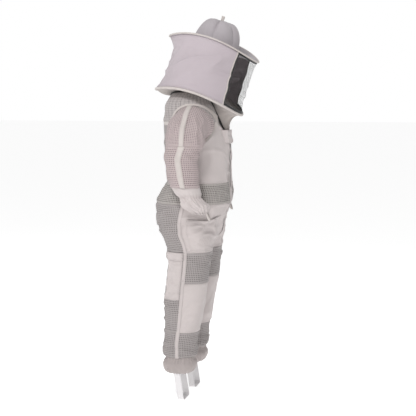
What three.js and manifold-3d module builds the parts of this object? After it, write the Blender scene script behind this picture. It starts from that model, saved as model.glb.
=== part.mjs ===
// A ventilated beekeeping suit with a zip-on round hat veil, in millimetres, +Z up, its wearer facing -Y.
// Heights are counted from the ground under the wearer's boots. The finished group is lowered by COLLAR_Z, so
// the origin is the middle of the collar, where the suit hangs from its wearer's neck and shoulders.
// The left half is modelled (+X is the wearer's left), and the right half is its mirror image.
import * as THREE from "three";
import { mergeVertices } from "three/addons/utils/BufferGeometryUtils.js";
import Module from "manifold-3d";

const wasm = await Module();
wasm.setup();
const { lerp, clamp, degToRad } = THREE.MathUtils;

// Heights of the seams
const COLLAR_Z = 1345;
const YOKE_SEAM_Z = 1205;
const CHEST_SEAM_Z = 950;
const WAIST_SEAM_Z = 860;
const CROTCH_Z = 745;
const THIGH_SEAM_Z = 655;
const KNEE_TOP_Z = 520;
const KNEE_BOTTOM_Z = 303;
const CUFF_TOP_Z = 190;
const HEM_Z = 118;

// Cloth
const NET_THICKNESS = 3.5; // three layers of open mesh
const COTTON_THICKNESS = 1.8;
const SEAM_GAP = 0.6; // between two panels that are sewn edge to edge
const LAYER_GAP = 0.5; // between a patch and the panel under it
const SECTION_POWER = 2.4; // 2 is an ellipse, and more is boxier

// Torso and legs: smooth through these rows
const TORSO_ROWS = [
  // height, half width, front, back
  [745, 182, -131, 141],
  [790, 184, -140, 150],
  [860, 182, -168, 150],
  [905, 178, -169.7, 135],
  [950, 176, -167.4, 108],
  [1050, 184, -162.2, 110],
  [1130, 187, -158, 114],
  [1205, 186, -130, 116],
  [1275, 181, -112, 110],
  [1300, 170, -104, 104],
  [1325, 142, -98, 90],
  [1345, 112, -88, 70],
];
const LEG_ROWS = [
  // height, centre x, centre y, half width, half depth
  [118, 104, 38, 50, 52],
  [132, 104, 37, 61, 67],
  [160, 104, 35, 66, 74],
  [184, 103, 33, 57, 62],
  [200, 103, 34, 63, 72],
  [231, 102, 34, 65, 73],
  [262, 102, 33, 67, 74],
  [313, 101, 26, 71, 78],
  [369, 100, 19, 75, 84],
  [444, 99, 11, 79, 89],
  [534, 97, 1.5, 83, 93.5],
  [595, 96, -5, 85, 93],
  [655, 94, -8, 87, 98],
];
const INSEAM_ANGLE = 140; // where the inner thigh panel meets the outer panels, each way from the side
const SIDE_STRIP_WIDTH = 16;

// Sleeves
const ARMHOLE_R = 82;
const ARMHOLE_X = 189;
const ARMHOLE_Y = -35;
const ARMHOLE_Z = 1197;
const ARMHOLE_CLEARANCE = 0.5;
const ARMHOLE_SIDES = 28;
const ARMHOLE_DEPTH = 29; // how far the sleeve head reaches into the torso
const ARMPIT_R = 2;
const SLEEVE_ROWS = [
  // height, centre x, centre y, half width, half depth
  [830, 232, -88, 32, 38],
  [855, 234, -72, 38, 46],
  [880, 236, -56, 36, 43],
  [905, 238, -40, 43, 54],
  [940, 240, -26, 46, 60],
  [1005, 242, -14, 50, 69],
  [1060, 243, -8, 52, 72],
  [1112, 243, -22, 52, 81],
];
const ELBOW_TOP_Z = ARMHOLE_Z - ARMHOLE_R - ARMPIT_R;
const SLEEVE_CUFF_TOP_Z = 940;
const SLEEVE_END_Z = 830;

// Front zip, from the crotch to the throat
const ZIP_HALF_WIDTH = 17.6;
const ZIP_BOTTOM_Z = 750;
const THROAT_Z = 1150;
const ZIP_THICKNESS = 2.4;
const SLIDER_Z = 1100;

// Neck zip
const NECK_TAPE_WIDTH = 5;
const NECK_EDGE_MARGIN = 7; // from the neck zip's line down to the panels
const NECK_CORNER_ANGLE = -48;
const NECK_ROWS = [
  // angle round the neck from the wearer's left, height
  [NECK_CORNER_ANGLE, 1312],
  [-22, 1335],
  [5, 1342],
  [45, 1336],
  [90, 1322],
];
const NECK_CORNER_SHARE = 0.27; // of the way round the zip, where the straight stretch of the V ends
const NECK_AIM = new THREE.Vector3(0, -60, 1410);

// Hood: a leaning cylinder from the hoop up to the brim, with the hat's crown on it
const HOOD_LEAN = 16.5;
const HOOD_SADDLE = 44; // how much higher the hoop and the brim ride at the sides than in front and behind
const HOOP_Y = -26;
const HOOP_Z = 1295;
const HOOP_R = 197;
const HOOP_TUBE_R = 4.5;
const BRIM_HEIGHT = 236;
const BRIM_R = 198;
const BRIM_THICKNESS = 3;
const RIM_TUBE_R = 3;
const CROWN_R = 102;
const CROWN_HEIGHT = 137;
const CROWN_THICKNESS = 3;
const SWEATBAND_HEIGHT = 30;
const SWEATBAND_THICKNESS = 2.4;
const TAB_WIDTH = 13;
const TAB_HEIGHT = 24;
const TAB_THICKNESS = 3;
const VEIL_INSET = 3; // from the hoop's and the brim's edge
const VEIL_THICKNESS = 1.8;
const WINDOW_HALF_ANGLE = 46;
const VEIL_SAG = 9;
const VEIL_BACK_SAG = 22;
const SKIRT_THICKNESS = 1.8;
const SKIRT_RISE = 26;

// Stirrups
const STIRRUP_WIDTH = 28;
const STIRRUP_THICKNESS = 2;
const STIRRUP_CORNER_R = 12;
const STIRRUP_SLANT = 18;

const cotton = new THREE.MeshStandardMaterial({ color: 0xd8d0cc, roughness: 0.9, metalness: 0 });
const net = new THREE.MeshStandardMaterial({ color: 0xbcb2b0, roughness: 0.95, metalness: 0 });
const veilCotton = new THREE.MeshStandardMaterial({ color: 0xd6ced4, roughness: 0.9, metalness: 0 });
const veilNet = new THREE.MeshStandardMaterial({ color: 0x2b2c2a, roughness: 0.8, metalness: 0 });
const elastic = new THREE.MeshStandardMaterial({ color: 0xcfc8cc, roughness: 0.85, metalness: 0 });
const zipTape = new THREE.MeshStandardMaterial({ color: 0x33302e, roughness: 0.7, metalness: 0 });
const zipMetal = new THREE.MeshStandardMaterial({ color: 0x3c3a38, roughness: 0.45, metalness: 0.8 });

const suit = new THREE.Group();

function add(name, geometry, material) {
  const mesh = new THREE.Mesh(geometry, material);
  mesh.name = name;
  suit.add(mesh);
  return mesh;
}

function addPair(name, geometry, material) {
  add(`${name}_left`, geometry, material);
  add(`${name}_right`, geometry, material).scale.x = -1;
}

// The values of a table's rows at any place along its first column, on a smooth curve.
function profile(rows) {
  const slope = (i, k) => {
    const before = rows[Math.max(i - 1, 0)];
    const after = rows[Math.min(i + 1, rows.length - 1)];
    return (after[k] - before[k]) / (after[0] - before[0]);
  };
  return (at) => {
    const found = rows.findIndex((row, i) => i > 0 && at <= row[0]);
    const i = found < 0 ? rows.length - 1 : found;
    const [low, high] = [rows[i - 1], rows[i]];
    const span = high[0] - low[0];
    const t = clamp((at - low[0]) / span, 0, 1);
    const [t2, t3] = [t * t, t * t * t];
    return low.slice(1).map((_, n) => {
      const k = n + 1;
      return (
        (2 * t3 - 3 * t2 + 1) * low[k] +
        (t3 - 2 * t2 + t) * span * slope(i - 1, k) +
        (3 * t2 - 2 * t3) * high[k] +
        (t3 - t2) * span * slope(i, k)
      );
    });
  };
}

const torsoSize = profile(TORSO_ROWS);
const legSize = profile(LEG_ROWS);
const sleeveSize = profile(SLEEVE_ROWS);
const neckHeight = profile(NECK_ROWS);

// A point on a rounded section, at an angle from +X, anticlockwise from above.
function onSection(angle, z, centreX, centreY, halfWidth, halfDepth) {
  const [c, s] = [Math.cos(degToRad(angle)), Math.sin(degToRad(angle))];
  const reach =
    (Math.abs(c / halfWidth) ** SECTION_POWER + Math.abs(s / halfDepth) ** SECTION_POWER) **
    (-1 / SECTION_POWER);
  return new THREE.Vector3(centreX + reach * c, centreY + reach * s, z);
}

function torso(angle, z) {
  const [halfWidth, front, back] = torsoSize(z);
  return onSection(angle, z, 0, (front + back) / 2, halfWidth, (back - front) / 2);
}

const leg = (angle, z) => onSection(angle, z, ...legSize(z));

// The value at which a rising function reaches zero.
function solve(rising, low, high) {
  for (let i = 0; i < 40; i++) {
    const middle = (low + high) / 2;
    if (rising(middle) < 0) low = middle;
    else high = middle;
  }
  return (low + high) / 2;
}

// The angle, left of centre front, at which the torso is this far from the middle.
const angleAtX = (x, z) => solve((angle) => torso(angle, z).x - x, -90, 0);
const zipEdgeAngle = (z) => angleAtX(ZIP_HALF_WIDTH + 0.1, z);

// The outer half of the hips, from centre front round the side to centre back.
function hip(share, z) {
  const onTorso = torso(lerp(zipEdgeAngle(z), 90, share), z);
  if (z >= CROTCH_Z) return onTorso;
  const onLeg = leg(lerp(-INSEAM_ANGLE, INSEAM_ANGLE, share), z);
  return onTorso.lerp(onLeg, 1 - THREE.MathUtils.smoothstep(z, THIGH_SEAM_Z, CROTCH_Z));
}

// The inner thigh, from the back to the front, which starts as a wall down the middle of the crotch.
function innerThigh(share, z) {
  const inset = NET_THICKNESS + 5;
  const [, front, back] = torsoSize(CROTCH_Z);
  const onWall = new THREE.Vector3(SEAM_GAP, lerp(back - inset, front + inset, share), z);
  const turn = 2 * inset / (Math.PI * 2 * legSize(z)[2]) * 360;
  const onLeg = leg(lerp(INSEAM_ANGLE + turn, 360 - INSEAM_ANGLE - turn, share), z);
  return onWall.lerp(onLeg, 1 - THREE.MathUtils.smoothstep(z, THIGH_SEAM_Z, CROTCH_Z));
}

function normalAt(surface, s, t) {
  const step = 1e-3;
  const alongS = surface(s + step, t).sub(surface(s - step, t));
  const alongT = surface(s, t + step).sub(surface(s, t - step));
  return alongS.cross(alongT).normalize();
}

function lengthOf(point) {
  const steps = 12;
  let length = 0;
  for (let i = 0; i < steps; i++) length += point(i / steps).distanceTo(point((i + 1) / steps));
  return length;
}

// A panel of cloth on surface(s, t), where s and t run from 0 to 1. It is a box bent over the surface, from
// `inner` to `outer` along the surface's normal, which may be numbers or functions of s and t.
function panel(surface, acrossSteps, upSteps, inner, outer) {
  const geometry = new THREE.BoxGeometry(1, 1, 1, acrossSteps, upSteps, 1);
  const insetS = SEAM_GAP / 2 / lengthOf((share) => surface(share, 0.5));
  const insetT = SEAM_GAP / 2 / lengthOf((share) => surface(0.5, share));
  // The inner face's quads are split along the same diagonals as the outer face's, so the two never cross.
  const index = geometry.index;
  const back = geometry.groups[5];
  for (let i = back.start; i < back.start + back.count; i += 6) {
    const [a, b, d, , c] = index.array.slice(i, i + 6);
    index.set([a, b, c, a, c, d], i);
  }
  const depth = (value, s, t) => (typeof value === "function" ? value(s, t) : value);
  const place = geometry.attributes.position;
  for (let i = 0; i < place.count; i++) {
    const s = lerp(insetS, 1 - insetS, place.getX(i) + 0.5);
    const t = lerp(insetT, 1 - insetT, place.getY(i) + 0.5);
    const lift = depth(place.getZ(i) > 0 ? outer : inner, s, t);
    const point = surface(s, t).addScaledVector(normalAt(surface, s, t), lift);
    place.setXYZ(i, point.x, point.y, point.z);
  }
  geometry.computeVertexNormals();
  return geometry;
}

function solidOf(geometry) {
  const bare = geometry.clone();
  bare.deleteAttribute("normal");
  bare.deleteAttribute("uv");
  const merged = mergeVertices(bare, 1e-3);
  const triVerts = new Uint32Array(merged.index.array);
  const vertProperties = merged.attributes.position.array;
  return new wasm.Manifold(new wasm.Mesh({ numProp: 3, vertProperties, triVerts }));
}

function geometryOf(solid) {
  const mesh = solid.getMesh();
  const geometry = new THREE.BufferGeometry();
  geometry.setAttribute("position", new THREE.BufferAttribute(mesh.vertProperties, 3));
  geometry.setIndex(new THREE.BufferAttribute(mesh.triVerts, 1));
  geometry.computeVertexNormals();
  return geometry;
}

const cut = (geometry, ...tools) =>
  geometryOf(tools.reduce((left, tool) => left.subtract(solidOf(tool)), solidOf(geometry)));

// ---- Neck zip line: a straight V up the chest, then round the neck ----

const vFoot = torso(zipEdgeAngle(THROAT_Z), THROAT_Z);
const vTop = torso(NECK_CORNER_ANGLE, neckHeight(NECK_CORNER_ANGLE)[0]);

// Share 0 is the foot of the V on the left, 0.5 is centre back and 1 is the foot on the right.
function neckLine(share) {
  if (share > 0.5) {
    const mirrored = neckLine(1 - share);
    mirrored.x *= -1;
    return mirrored;
  }
  if (share < NECK_CORNER_SHARE) return vFoot.clone().lerp(vTop, share / NECK_CORNER_SHARE);
  const round = (share - NECK_CORNER_SHARE) / (0.5 - NECK_CORNER_SHARE);
  const angle = lerp(NECK_CORNER_ANGLE, 90, round);
  return torso(angle, neckHeight(angle)[0]);
}

function neckTangent(share) {
  const step = 2e-3;
  return neckLine(share + step).sub(neckLine(share - step)).normalize();
}

// Across the zip, from the suit's side to the veil's side.
function neckAcross(share) {
  const tangent = neckTangent(share);
  const aim = NECK_AIM.clone().sub(neckLine(share));
  return aim.addScaledVector(tangent, -aim.dot(tangent)).normalize();
}

const neckTape = (from, to) => (s, t) =>
  neckLine(s).addScaledVector(neckAcross(s), lerp(from, to, t));

// The height of the neck opening's edge at an angle round the torso.
function neckEdge(angle) {
  const turned = angle > 90 ? 180 - angle : angle;
  if (turned >= NECK_CORNER_ANGLE) return neckHeight(turned)[0] - NECK_EDGE_MARGIN;
  const pointAngle = (share) => {
    const point = vFoot.clone().lerp(vTop, share);
    const [, front, back] = torsoSize(point.z);
    return THREE.MathUtils.radToDeg(Math.atan2(point.y - (front + back) / 2, point.x));
  };
  const share = solve((at) => pointAngle(at) - turned, 0, 1);
  return lerp(vFoot.z, vTop.z, share) - 2 * NECK_EDGE_MARGIN;
}

// ---- Torso ----

const onTorso = (fromAngle, toAngle, bottom, top) => (s, t) => {
  const angle = (z) => lerp(fromAngle(z), toAngle, s);
  const low = bottom;
  const high = typeof top === "function" ? top(angle(low)) : top;
  const z = lerp(low, high, t);
  return torso(angle(z), z);
};

function armholeCutter(side) {
  const apothem = ARMHOLE_R + ARMHOLE_CLEARANCE;
  const radius = apothem / Math.cos(Math.PI / ARMHOLE_SIDES);
  const cutter = new THREE.CylinderGeometry(radius, radius, 2 * ARMHOLE_R, ARMHOLE_SIDES);
  cutter.rotateZ(Math.PI / 2);
  cutter.translate(side * ARMHOLE_X, ARMHOLE_Y, ARMHOLE_Z);
  return cutter;
}
const armholes = [armholeCutter(1), armholeCutter(-1)];

const yokeFrontStart = solve((angle) => neckEdge(angle) - YOKE_SEAM_Z - 12, -90, NECK_CORNER_ANGLE);
const yokeFront = onTorso(() => yokeFrontStart, 0, YOKE_SEAM_Z, neckEdge);
addPair("yoke_front", cut(panel(yokeFront, 5, 5, -NET_THICKNESS, 0), armholes[0]), net);
const yokeBack = onTorso(() => 0, 180, YOKE_SEAM_Z, neckEdge);
add("yoke_back", cut(panel(yokeBack, 12, 5, -NET_THICKNESS, 0), ...armholes), net);
const chestTop = (angle) => Math.min(YOKE_SEAM_Z, neckEdge(angle));
const chest = onTorso(zipEdgeAngle, 0, CHEST_SEAM_Z, chestTop);
addPair("chest_panel", cut(panel(chest, 7, 7, -COTTON_THICKNESS, 0), armholes[0]), cotton);
const back = onTorso(() => 0, 180, CHEST_SEAM_Z, YOKE_SEAM_Z);
add("back_panel", cut(panel(back, 12, 7, -NET_THICKNESS, 0), ...armholes), net);
const waist = (s, t) => {
  const z = lerp(WAIST_SEAM_Z, CHEST_SEAM_Z, t);
  return torso(lerp(zipEdgeAngle(z), 180 - zipEdgeAngle(z), s), z);
};
add("waist_band", panel(waist, 18, 2, -NET_THICKNESS, 0), net);

const zipLine = (halfWidth, low, high) => (s, t) => {
  const z = lerp(low, high, t);
  return new THREE.Vector3(lerp(-halfWidth, halfWidth, s), torso(-90, z).y, z);
};
add("front_zip", panel(zipLine(ZIP_HALF_WIDTH, ZIP_BOTTOM_Z, THROAT_Z - NECK_EDGE_MARGIN), 2, 14,
  -ZIP_THICKNESS, 0), zipTape);

// ---- Hips and legs ----

const onHip = (from, to, low, high) => (s, t) => hip(lerp(from, to, s), lerp(low, high, t));
const onLeg = (from, to, low, high) => (s, t) => leg(lerp(from, to, s), lerp(low, high, t));

addPair("hip_front", panel(onHip(0, 0.5, THIGH_SEAM_Z, WAIST_SEAM_Z), 7, 6, -COTTON_THICKNESS, 0), cotton);
addPair("seat", panel(onHip(0.5, 1, THIGH_SEAM_Z, WAIST_SEAM_Z), 8, 6, -NET_THICKNESS, 0), net);
const inner = (s, t) => innerThigh(s, lerp(THIGH_SEAM_Z, CROTCH_Z, t));
addPair("inner_thigh", panel(inner, 4, 3, -NET_THICKNESS, 0), net);
addPair("thigh", panel(onLeg(0, 360, KNEE_TOP_Z, THIGH_SEAM_Z), 14, 3, -NET_THICKNESS, 0), net);
addPair("knee_patch", panel(onLeg(-180, 0, KNEE_BOTTOM_Z, KNEE_TOP_Z), 7, 4, -COTTON_THICKNESS, 0), cotton);
addPair("knee_back", panel(onLeg(0, 180, KNEE_BOTTOM_Z, KNEE_TOP_Z), 7, 4, -NET_THICKNESS, 0), net);
addPair("shin", panel(onLeg(0, 360, CUFF_TOP_Z, KNEE_BOTTOM_Z), 14, 2, -NET_THICKNESS, 0), net);
addPair("leg_cuff", panel(onLeg(0, 360, HEM_Z, CUFF_TOP_Z), 14, 5, -NET_THICKNESS, 0), net);

// The strip over the side seam, from the waist to the cuff.
const sideStrip = (s, t) => {
  const z = lerp(CUFF_TOP_Z, WAIST_SEAM_Z, t);
  const across = (s - 0.5) * SIDE_STRIP_WIDTH;
  const middle = z < THIGH_SEAM_Z ? leg(0, z) : hip(0.5, z);
  return middle.add(new THREE.Vector3(0, across, 0));
};
const stripLift = LAYER_GAP + 0.4;
addPair("side_strip", panel(sideStrip, 1, 20, stripLift, stripLift + COTTON_THICKNESS), cotton);

const HIP_POCKET = { from: 0.13, to: 0.45, low: 662, high: 800, mouthGap: 1.6 };
const hipPocket = onHip(HIP_POCKET.from, HIP_POCKET.to, HIP_POCKET.low, HIP_POCKET.high);
const hipPocketLift = (s, t) => LAYER_GAP + 1.2 + HIP_POCKET.mouthGap * Math.sin(Math.PI * s) * t;
addPair("hip_pocket", panel(hipPocket, 6, 5, hipPocketLift, (s, t) => hipPocketLift(s, t) + COTTON_THICKNESS),
  cotton);

const THIGH_POCKET = { from: 7, to: 64, low: 448, high: 640, flapLow: 622, flapHigh: 653 };
const pocketLift = LAYER_GAP + 0.4;
const thighPocket = onLeg(THIGH_POCKET.from, THIGH_POCKET.to, THIGH_POCKET.low, THIGH_POCKET.high);
addPair("thigh_pocket", panel(thighPocket, 5, 6, pocketLift, pocketLift + COTTON_THICKNESS), cotton);
const thighFlap = onLeg(THIGH_POCKET.from, THIGH_POCKET.to, THIGH_POCKET.flapLow, THIGH_POCKET.flapHigh);
const flapLift = pocketLift + COTTON_THICKNESS + LAYER_GAP;
addPair("thigh_pocket_flap", panel(thighFlap, 5, 1, flapLift, flapLift + COTTON_THICKNESS), cotton);

// The elastic stirrup: a U under the boot, hung from the hem and slanting forward as it goes down.
function stirrup() {
  const [centreX, centreY, halfWidth] = legSize(HEM_Z);
  const outer = halfWidth - 0.5;
  const uShape = (half, foot, radius, path) => {
    path.moveTo(-half, HEM_Z - LAYER_GAP);
    path.lineTo(-half, foot + radius);
    path.absarc(-half + radius, foot + radius, radius, Math.PI, 1.5 * Math.PI);
    path.absarc(half - radius, foot + radius, radius, 1.5 * Math.PI, 2 * Math.PI);
    path.lineTo(half, HEM_Z - LAYER_GAP);
    return path;
  };
  const outline = uShape(outer, 0, STIRRUP_CORNER_R, new THREE.Path()).getPoints(4);
  const inside = uShape(outer - STIRRUP_THICKNESS, STIRRUP_THICKNESS, STIRRUP_CORNER_R - STIRRUP_THICKNESS,
    new THREE.Path()).getPoints(4);
  const shape = new THREE.Shape([...outline, ...inside.reverse()]);
  const geometry = new THREE.ExtrudeGeometry(shape, { depth: STIRRUP_WIDTH, bevelEnabled: false });
  geometry.rotateX(Math.PI / 2);
  geometry.translate(centreX, centreY - STIRRUP_SLANT + STIRRUP_WIDTH / 2, 0);
  const place = geometry.attributes.position;
  for (let i = 0; i < place.count; i++)
    place.setY(i, place.getY(i) + (place.getZ(i) / HEM_Z) * STIRRUP_SLANT);
  geometry.computeVertexNormals();
  return geometry;
}
addPair("stirrup", stirrup(), elastic);

// ---- Zip sliders ----

// A slider seen from its side: a body along the zip, with a bridge that a thin pull hangs from. Local +Z is
// along the zip and local -Y is away from the cloth, with the body's foot on y = 0.
const SLIDER = { width: 8, length: 12, height: 4, pullThickness: 1.6, pullLength: 22, slot: 1 };
function sliderWithPull() {
  const { width, length, height, pullThickness, pullLength, slot } = SLIDER;
  const bridge = height + slot;
  const outline = [
    [0, 0],
    [0, length],
    [-bridge - pullThickness, length],
    [-bridge - pullThickness, length - pullLength],
    [-bridge, length - pullLength],
    [-bridge, length - 4],
    [-height, length - 4],
    [-height, 0],
  ];
  const shape = new THREE.Shape(outline.map(([y, z]) => new THREE.Vector2(y, z)));
  const geometry = new THREE.ExtrudeGeometry(shape, { depth: width, bevelEnabled: false });
  geometry.applyMatrix4(new THREE.Matrix4().set(0, 0, 1, -width / 2, 1, 0, 0, 0, 0, 1, 0, 0, 0, 0, 0, 1));
  geometry.computeVertexNormals();
  return geometry;
}

function seatOn(geometry, foot, along, outward) {
  const up = along.clone().normalize();
  const away = outward.clone().addScaledVector(up, -outward.dot(up)).normalize();
  const across = new THREE.Vector3().crossVectors(away.clone().negate(), up);
  const basis = new THREE.Matrix4().makeBasis(across, away.negate(), up).setPosition(foot);
  return geometry.clone().applyMatrix4(basis);
}

const NECK_SLIDER_SHARE = 0.035;
const NECK_ZIP_HEIGHT = 3;
const neckOutward = neckTangent(NECK_SLIDER_SHARE).cross(neckAcross(NECK_SLIDER_SHARE));
const neckSliderFoot = neckLine(NECK_SLIDER_SHARE).addScaledVector(neckOutward, NECK_ZIP_HEIGHT + LAYER_GAP);
addPair("neck_slider", seatOn(sliderWithPull(), neckSliderFoot, neckTangent(NECK_SLIDER_SHARE), neckOutward),
  zipMetal);

const ANKLE_ZIP = { angle: 100, low: 122, high: 298, halfWidth: 5, sliderLow: 206, thickness: 1.8 };
const ankleTape = (s, t) => {
  const z = lerp(ANKLE_ZIP.low, ANKLE_ZIP.high, t);
  const across = lerp(-ANKLE_ZIP.halfWidth, ANKLE_ZIP.halfWidth, s);
  return leg(ANKLE_ZIP.angle, z).add(new THREE.Vector3(-across, 0, 0));
};
const tapeLift = LAYER_GAP + 2;
addPair("ankle_zip", panel(ankleTape, 1, 12, tapeLift, tapeLift + ANKLE_ZIP.thickness), zipTape);
const ankleFoot = leg(ANKLE_ZIP.angle, ANKLE_ZIP.sliderLow);
ankleFoot.y += tapeLift + ANKLE_ZIP.thickness + 0.9;
const straightUp = new THREE.Vector3(0, 0, 1);
addPair("ankle_slider", seatOn(sliderWithPull(), ankleFoot, straightUp, new THREE.Vector3(0, 1, 0)), zipMetal);

// The front slider has a pull of its own on a pin, so it is a body and a pull.
const FRONT_SLIDER = { width: 11, length: 16, height: 4.5, pin: 2, pullLength: 34, pullWidth: 8, pull: 1.8 };
const frontFoot = new THREE.Vector3(0, torso(-90, SLIDER_Z).y - 0.3, SLIDER_Z);
function frontSlider() {
  const { width, length, height } = FRONT_SLIDER;
  const shape = new THREE.Shape();
  shape.moveTo(-width / 2, length);
  shape.lineTo(-width / 2, length * 0.55);
  shape.lineTo(-width / 3, 0);
  shape.lineTo(width / 3, 0);
  shape.lineTo(width / 2, length * 0.55);
  shape.lineTo(width / 2, length);
  const geometry = new THREE.ExtrudeGeometry(shape, { depth: height, bevelEnabled: false });
  geometry.rotateX(Math.PI / 2);
  geometry.translate(frontFoot.x, frontFoot.y, frontFoot.z);
  return geometry;
}
add("front_slider", frontSlider(), zipMetal);
const pullTop = frontFoot.z + FRONT_SLIDER.length - FRONT_SLIDER.pin;
function frontPull() {
  const { pullWidth, pullLength, pull, height } = FRONT_SLIDER;
  const shape = new THREE.Shape();
  shape.moveTo(-pullWidth / 3, 0);
  shape.lineTo(-pullWidth / 2, -pullLength + pullWidth / 2);
  shape.absarc(0, -pullLength + pullWidth / 2, pullWidth / 2, Math.PI, 2 * Math.PI);
  shape.lineTo(pullWidth / 3, 0);
  const geometry = new THREE.ExtrudeGeometry(shape, { depth: pull, bevelEnabled: false, curveSegments: 4 });
  geometry.rotateX(Math.PI / 2);
  geometry.translate(0, frontFoot.y - height - LAYER_GAP, pullTop);
  return geometry;
}
add("front_slider_pull", frontPull(), zipMetal);

// ---- Sleeves ----

const armpit = new THREE.Vector3(ARMHOLE_X, 0, ELBOW_TOP_Z);

// A ring of the sleeve head. Lean 0 is the upright armhole ring, and lean 90 the level top of the sleeve.
function sleeveHeadRing(turn, lean, x) {
  const [, topY, topHalfWidth, topHalfDepth] = sleeveSize(ELBOW_TOP_Z);
  const share = lean / 90;
  const half = lerp(ARMHOLE_R, topHalfWidth, share);
  const depth = lerp(ARMHOLE_R, topHalfDepth, share);
  const across = new THREE.Vector3(Math.sin(degToRad(lean)), 0, Math.cos(degToRad(lean)));
  const point = armpit.clone().addScaledVector(across, ARMPIT_R + half + half * Math.sin(turn));
  point.y = lerp(ARMHOLE_Y, topY, share) + depth * Math.cos(turn);
  point.x += x - ARMHOLE_X;
  return point;
}

const SLEEVE_HEAD_STEPS = 6;
function sleeveHead(s, t) {
  const turn = 2 * Math.PI * s - Math.PI / 2;
  const at = t * SLEEVE_HEAD_STEPS;
  if (at < 1) return sleeveHeadRing(turn, 0, lerp(ARMHOLE_X - ARMHOLE_DEPTH, ARMHOLE_X, at));
  return sleeveHeadRing(turn, (90 * (at - 1)) / (SLEEVE_HEAD_STEPS - 1), ARMHOLE_X);
}

const sleeveTube = (high, low) => (s, t) => {
  const turn = 2 * Math.PI * s - Math.PI / 2;
  const z = lerp(high, low, t);
  const [centreX, centreY, halfWidth, halfDepth] = sleeveSize(z);
  return new THREE.Vector3(centreX + halfWidth * Math.sin(turn), centreY + halfDepth * Math.cos(turn), z);
};

const SLEEVE_AROUND = 14;
const SEAM_DROP = 1.6; // the elbow leans away from the upper sleeve
addPair("sleeve_upper", panel(sleeveHead, SLEEVE_AROUND, SLEEVE_HEAD_STEPS, -NET_THICKNESS, 0), net);
addPair("sleeve_elbow", panel(sleeveTube(ELBOW_TOP_Z - SEAM_DROP, SLEEVE_CUFF_TOP_Z), SLEEVE_AROUND, 4, -NET_THICKNESS, 0),
  net);
addPair("sleeve_cuff", panel(sleeveTube(SLEEVE_CUFF_TOP_Z, SLEEVE_END_Z), SLEEVE_AROUND, 5,
  -COTTON_THICKNESS, 0), cotton);

// ---- Neck zip and throat flap ----

const NECK_STEPS = 32;
add("neck_zip_lower", panel(neckTape(-NECK_TAPE_WIDTH, 0), NECK_STEPS, 1, -1, NECK_ZIP_HEIGHT), zipTape);
add("neck_zip_upper", panel(neckTape(0, NECK_TAPE_WIDTH), NECK_STEPS, 1, -1, NECK_ZIP_HEIGHT), zipTape);

const FLAP = { root: -60, end: 34, low: 1122, high: 1176, clearance: 14 };
function throatFlap(s, t) {
  const z = lerp(FLAP.low, FLAP.high, t);
  const x = lerp(FLAP.root, FLAP.end, s);
  const chestY = torso(-90, Math.min(z, THROAT_Z)).y;
  const edge = torso(angleAtX(-FLAP.root, z), z).y;
  const rise = THREE.MathUtils.smoothstep(s, 0, 0.16);
  return new THREE.Vector3(x, lerp(edge - LAYER_GAP - 0.2, chestY - FLAP.clearance, rise), z);
}
add("throat_flap", panel(throatFlap, 12, 2, 0, COTTON_THICKNESS), cotton);

// ---- Hood ----

const hood = new THREE.Matrix4()
  .makeRotationX(degToRad(HOOD_LEAN))
  .setPosition(0, HOOP_Y, HOOP_Z);
const hoodPoint = (x, y, z) =>
  new THREE.Vector3(x, y, z + HOOD_SADDLE * (x / HOOP_R) ** 2).applyMatrix4(hood);

function onHood(geometry) {
  const place = geometry.attributes.position;
  for (let i = 0; i < place.count; i++) {
    const point = hoodPoint(place.getX(i), place.getY(i), place.getZ(i));
    place.setXYZ(i, point.x, point.y, point.z);
  }
  geometry.computeVertexNormals();
  return geometry;
}

function ring(radius, tube, height, around, sides) {
  const geometry = new THREE.TorusGeometry(radius, tube, sides, around);
  geometry.translate(0, 0, height);
  return onHood(geometry);
}

// A solid of revolution about the hood's axis, from [radius, height] pairs.
function turned(points, segments) {
  const profilePoints = points.map(([radius, height]) => new THREE.Vector2(radius, height));
  const geometry = new THREE.LatheGeometry(profilePoints, segments);
  geometry.rotateX(Math.PI / 2);
  return onHood(geometry);
}

add("veil_hoop", ring(HOOP_R, HOOP_TUBE_R, 0, 36, 6), cotton);
add("brim_rim", ring(BRIM_R + RIM_TUBE_R + 0.5, RIM_TUBE_R, BRIM_HEIGHT, 36, 6), cotton);

const brimLow = BRIM_HEIGHT - BRIM_THICKNESS / 2;
const brimHigh = BRIM_HEIGHT + BRIM_THICKNESS / 2;
const brimHole = CROWN_R + 0.5;
add("hat_brim", turned([[brimHole, brimLow], [BRIM_R, brimLow], [BRIM_R, brimHigh], [brimHole, brimHigh],
  [brimHole, brimLow]], 36), cotton);

// The crown is a boxy dome: an upright quarter of a superellipse above a short straight wall.
const CROWN_POWER = 3.2;
function crownProfile(radius, height) {
  const points = [];
  const steps = 6;
  for (let i = 0; i <= steps; i++) {
    const angle = (Math.PI / 2) * (i / steps);
    points.push([
      i === steps ? 0 : radius * Math.cos(angle) ** (2 / CROWN_POWER),
      brimLow + height * Math.sin(angle) ** (2 / CROWN_POWER),
    ]);
  }
  return points;
}
const crownOutside = crownProfile(CROWN_R, CROWN_HEIGHT);
const crownInside = crownProfile(CROWN_R - CROWN_THICKNESS, CROWN_HEIGHT - CROWN_THICKNESS);
add("hat_crown", turned([...crownInside.reverse(), ...crownOutside], 20), cotton);

const bandOuter = CROWN_R - CROWN_THICKNESS - 1.9;
const bandInner = bandOuter - SWEATBAND_THICKNESS;
const bandTop = brimLow + SWEATBAND_HEIGHT;
add("sweatband", turned([[bandInner, brimLow], [bandOuter, brimLow], [bandOuter, bandTop],
  [bandInner, bandTop], [bandInner, brimLow]], 20), elastic);

const tab = new THREE.BoxGeometry(TAB_THICKNESS, TAB_WIDTH, TAB_HEIGHT);
tab.translate(0, 0, brimLow + CROWN_HEIGHT + LAYER_GAP + TAB_HEIGHT / 2);
add("hat_tab", onHood(tab), cotton);

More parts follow.
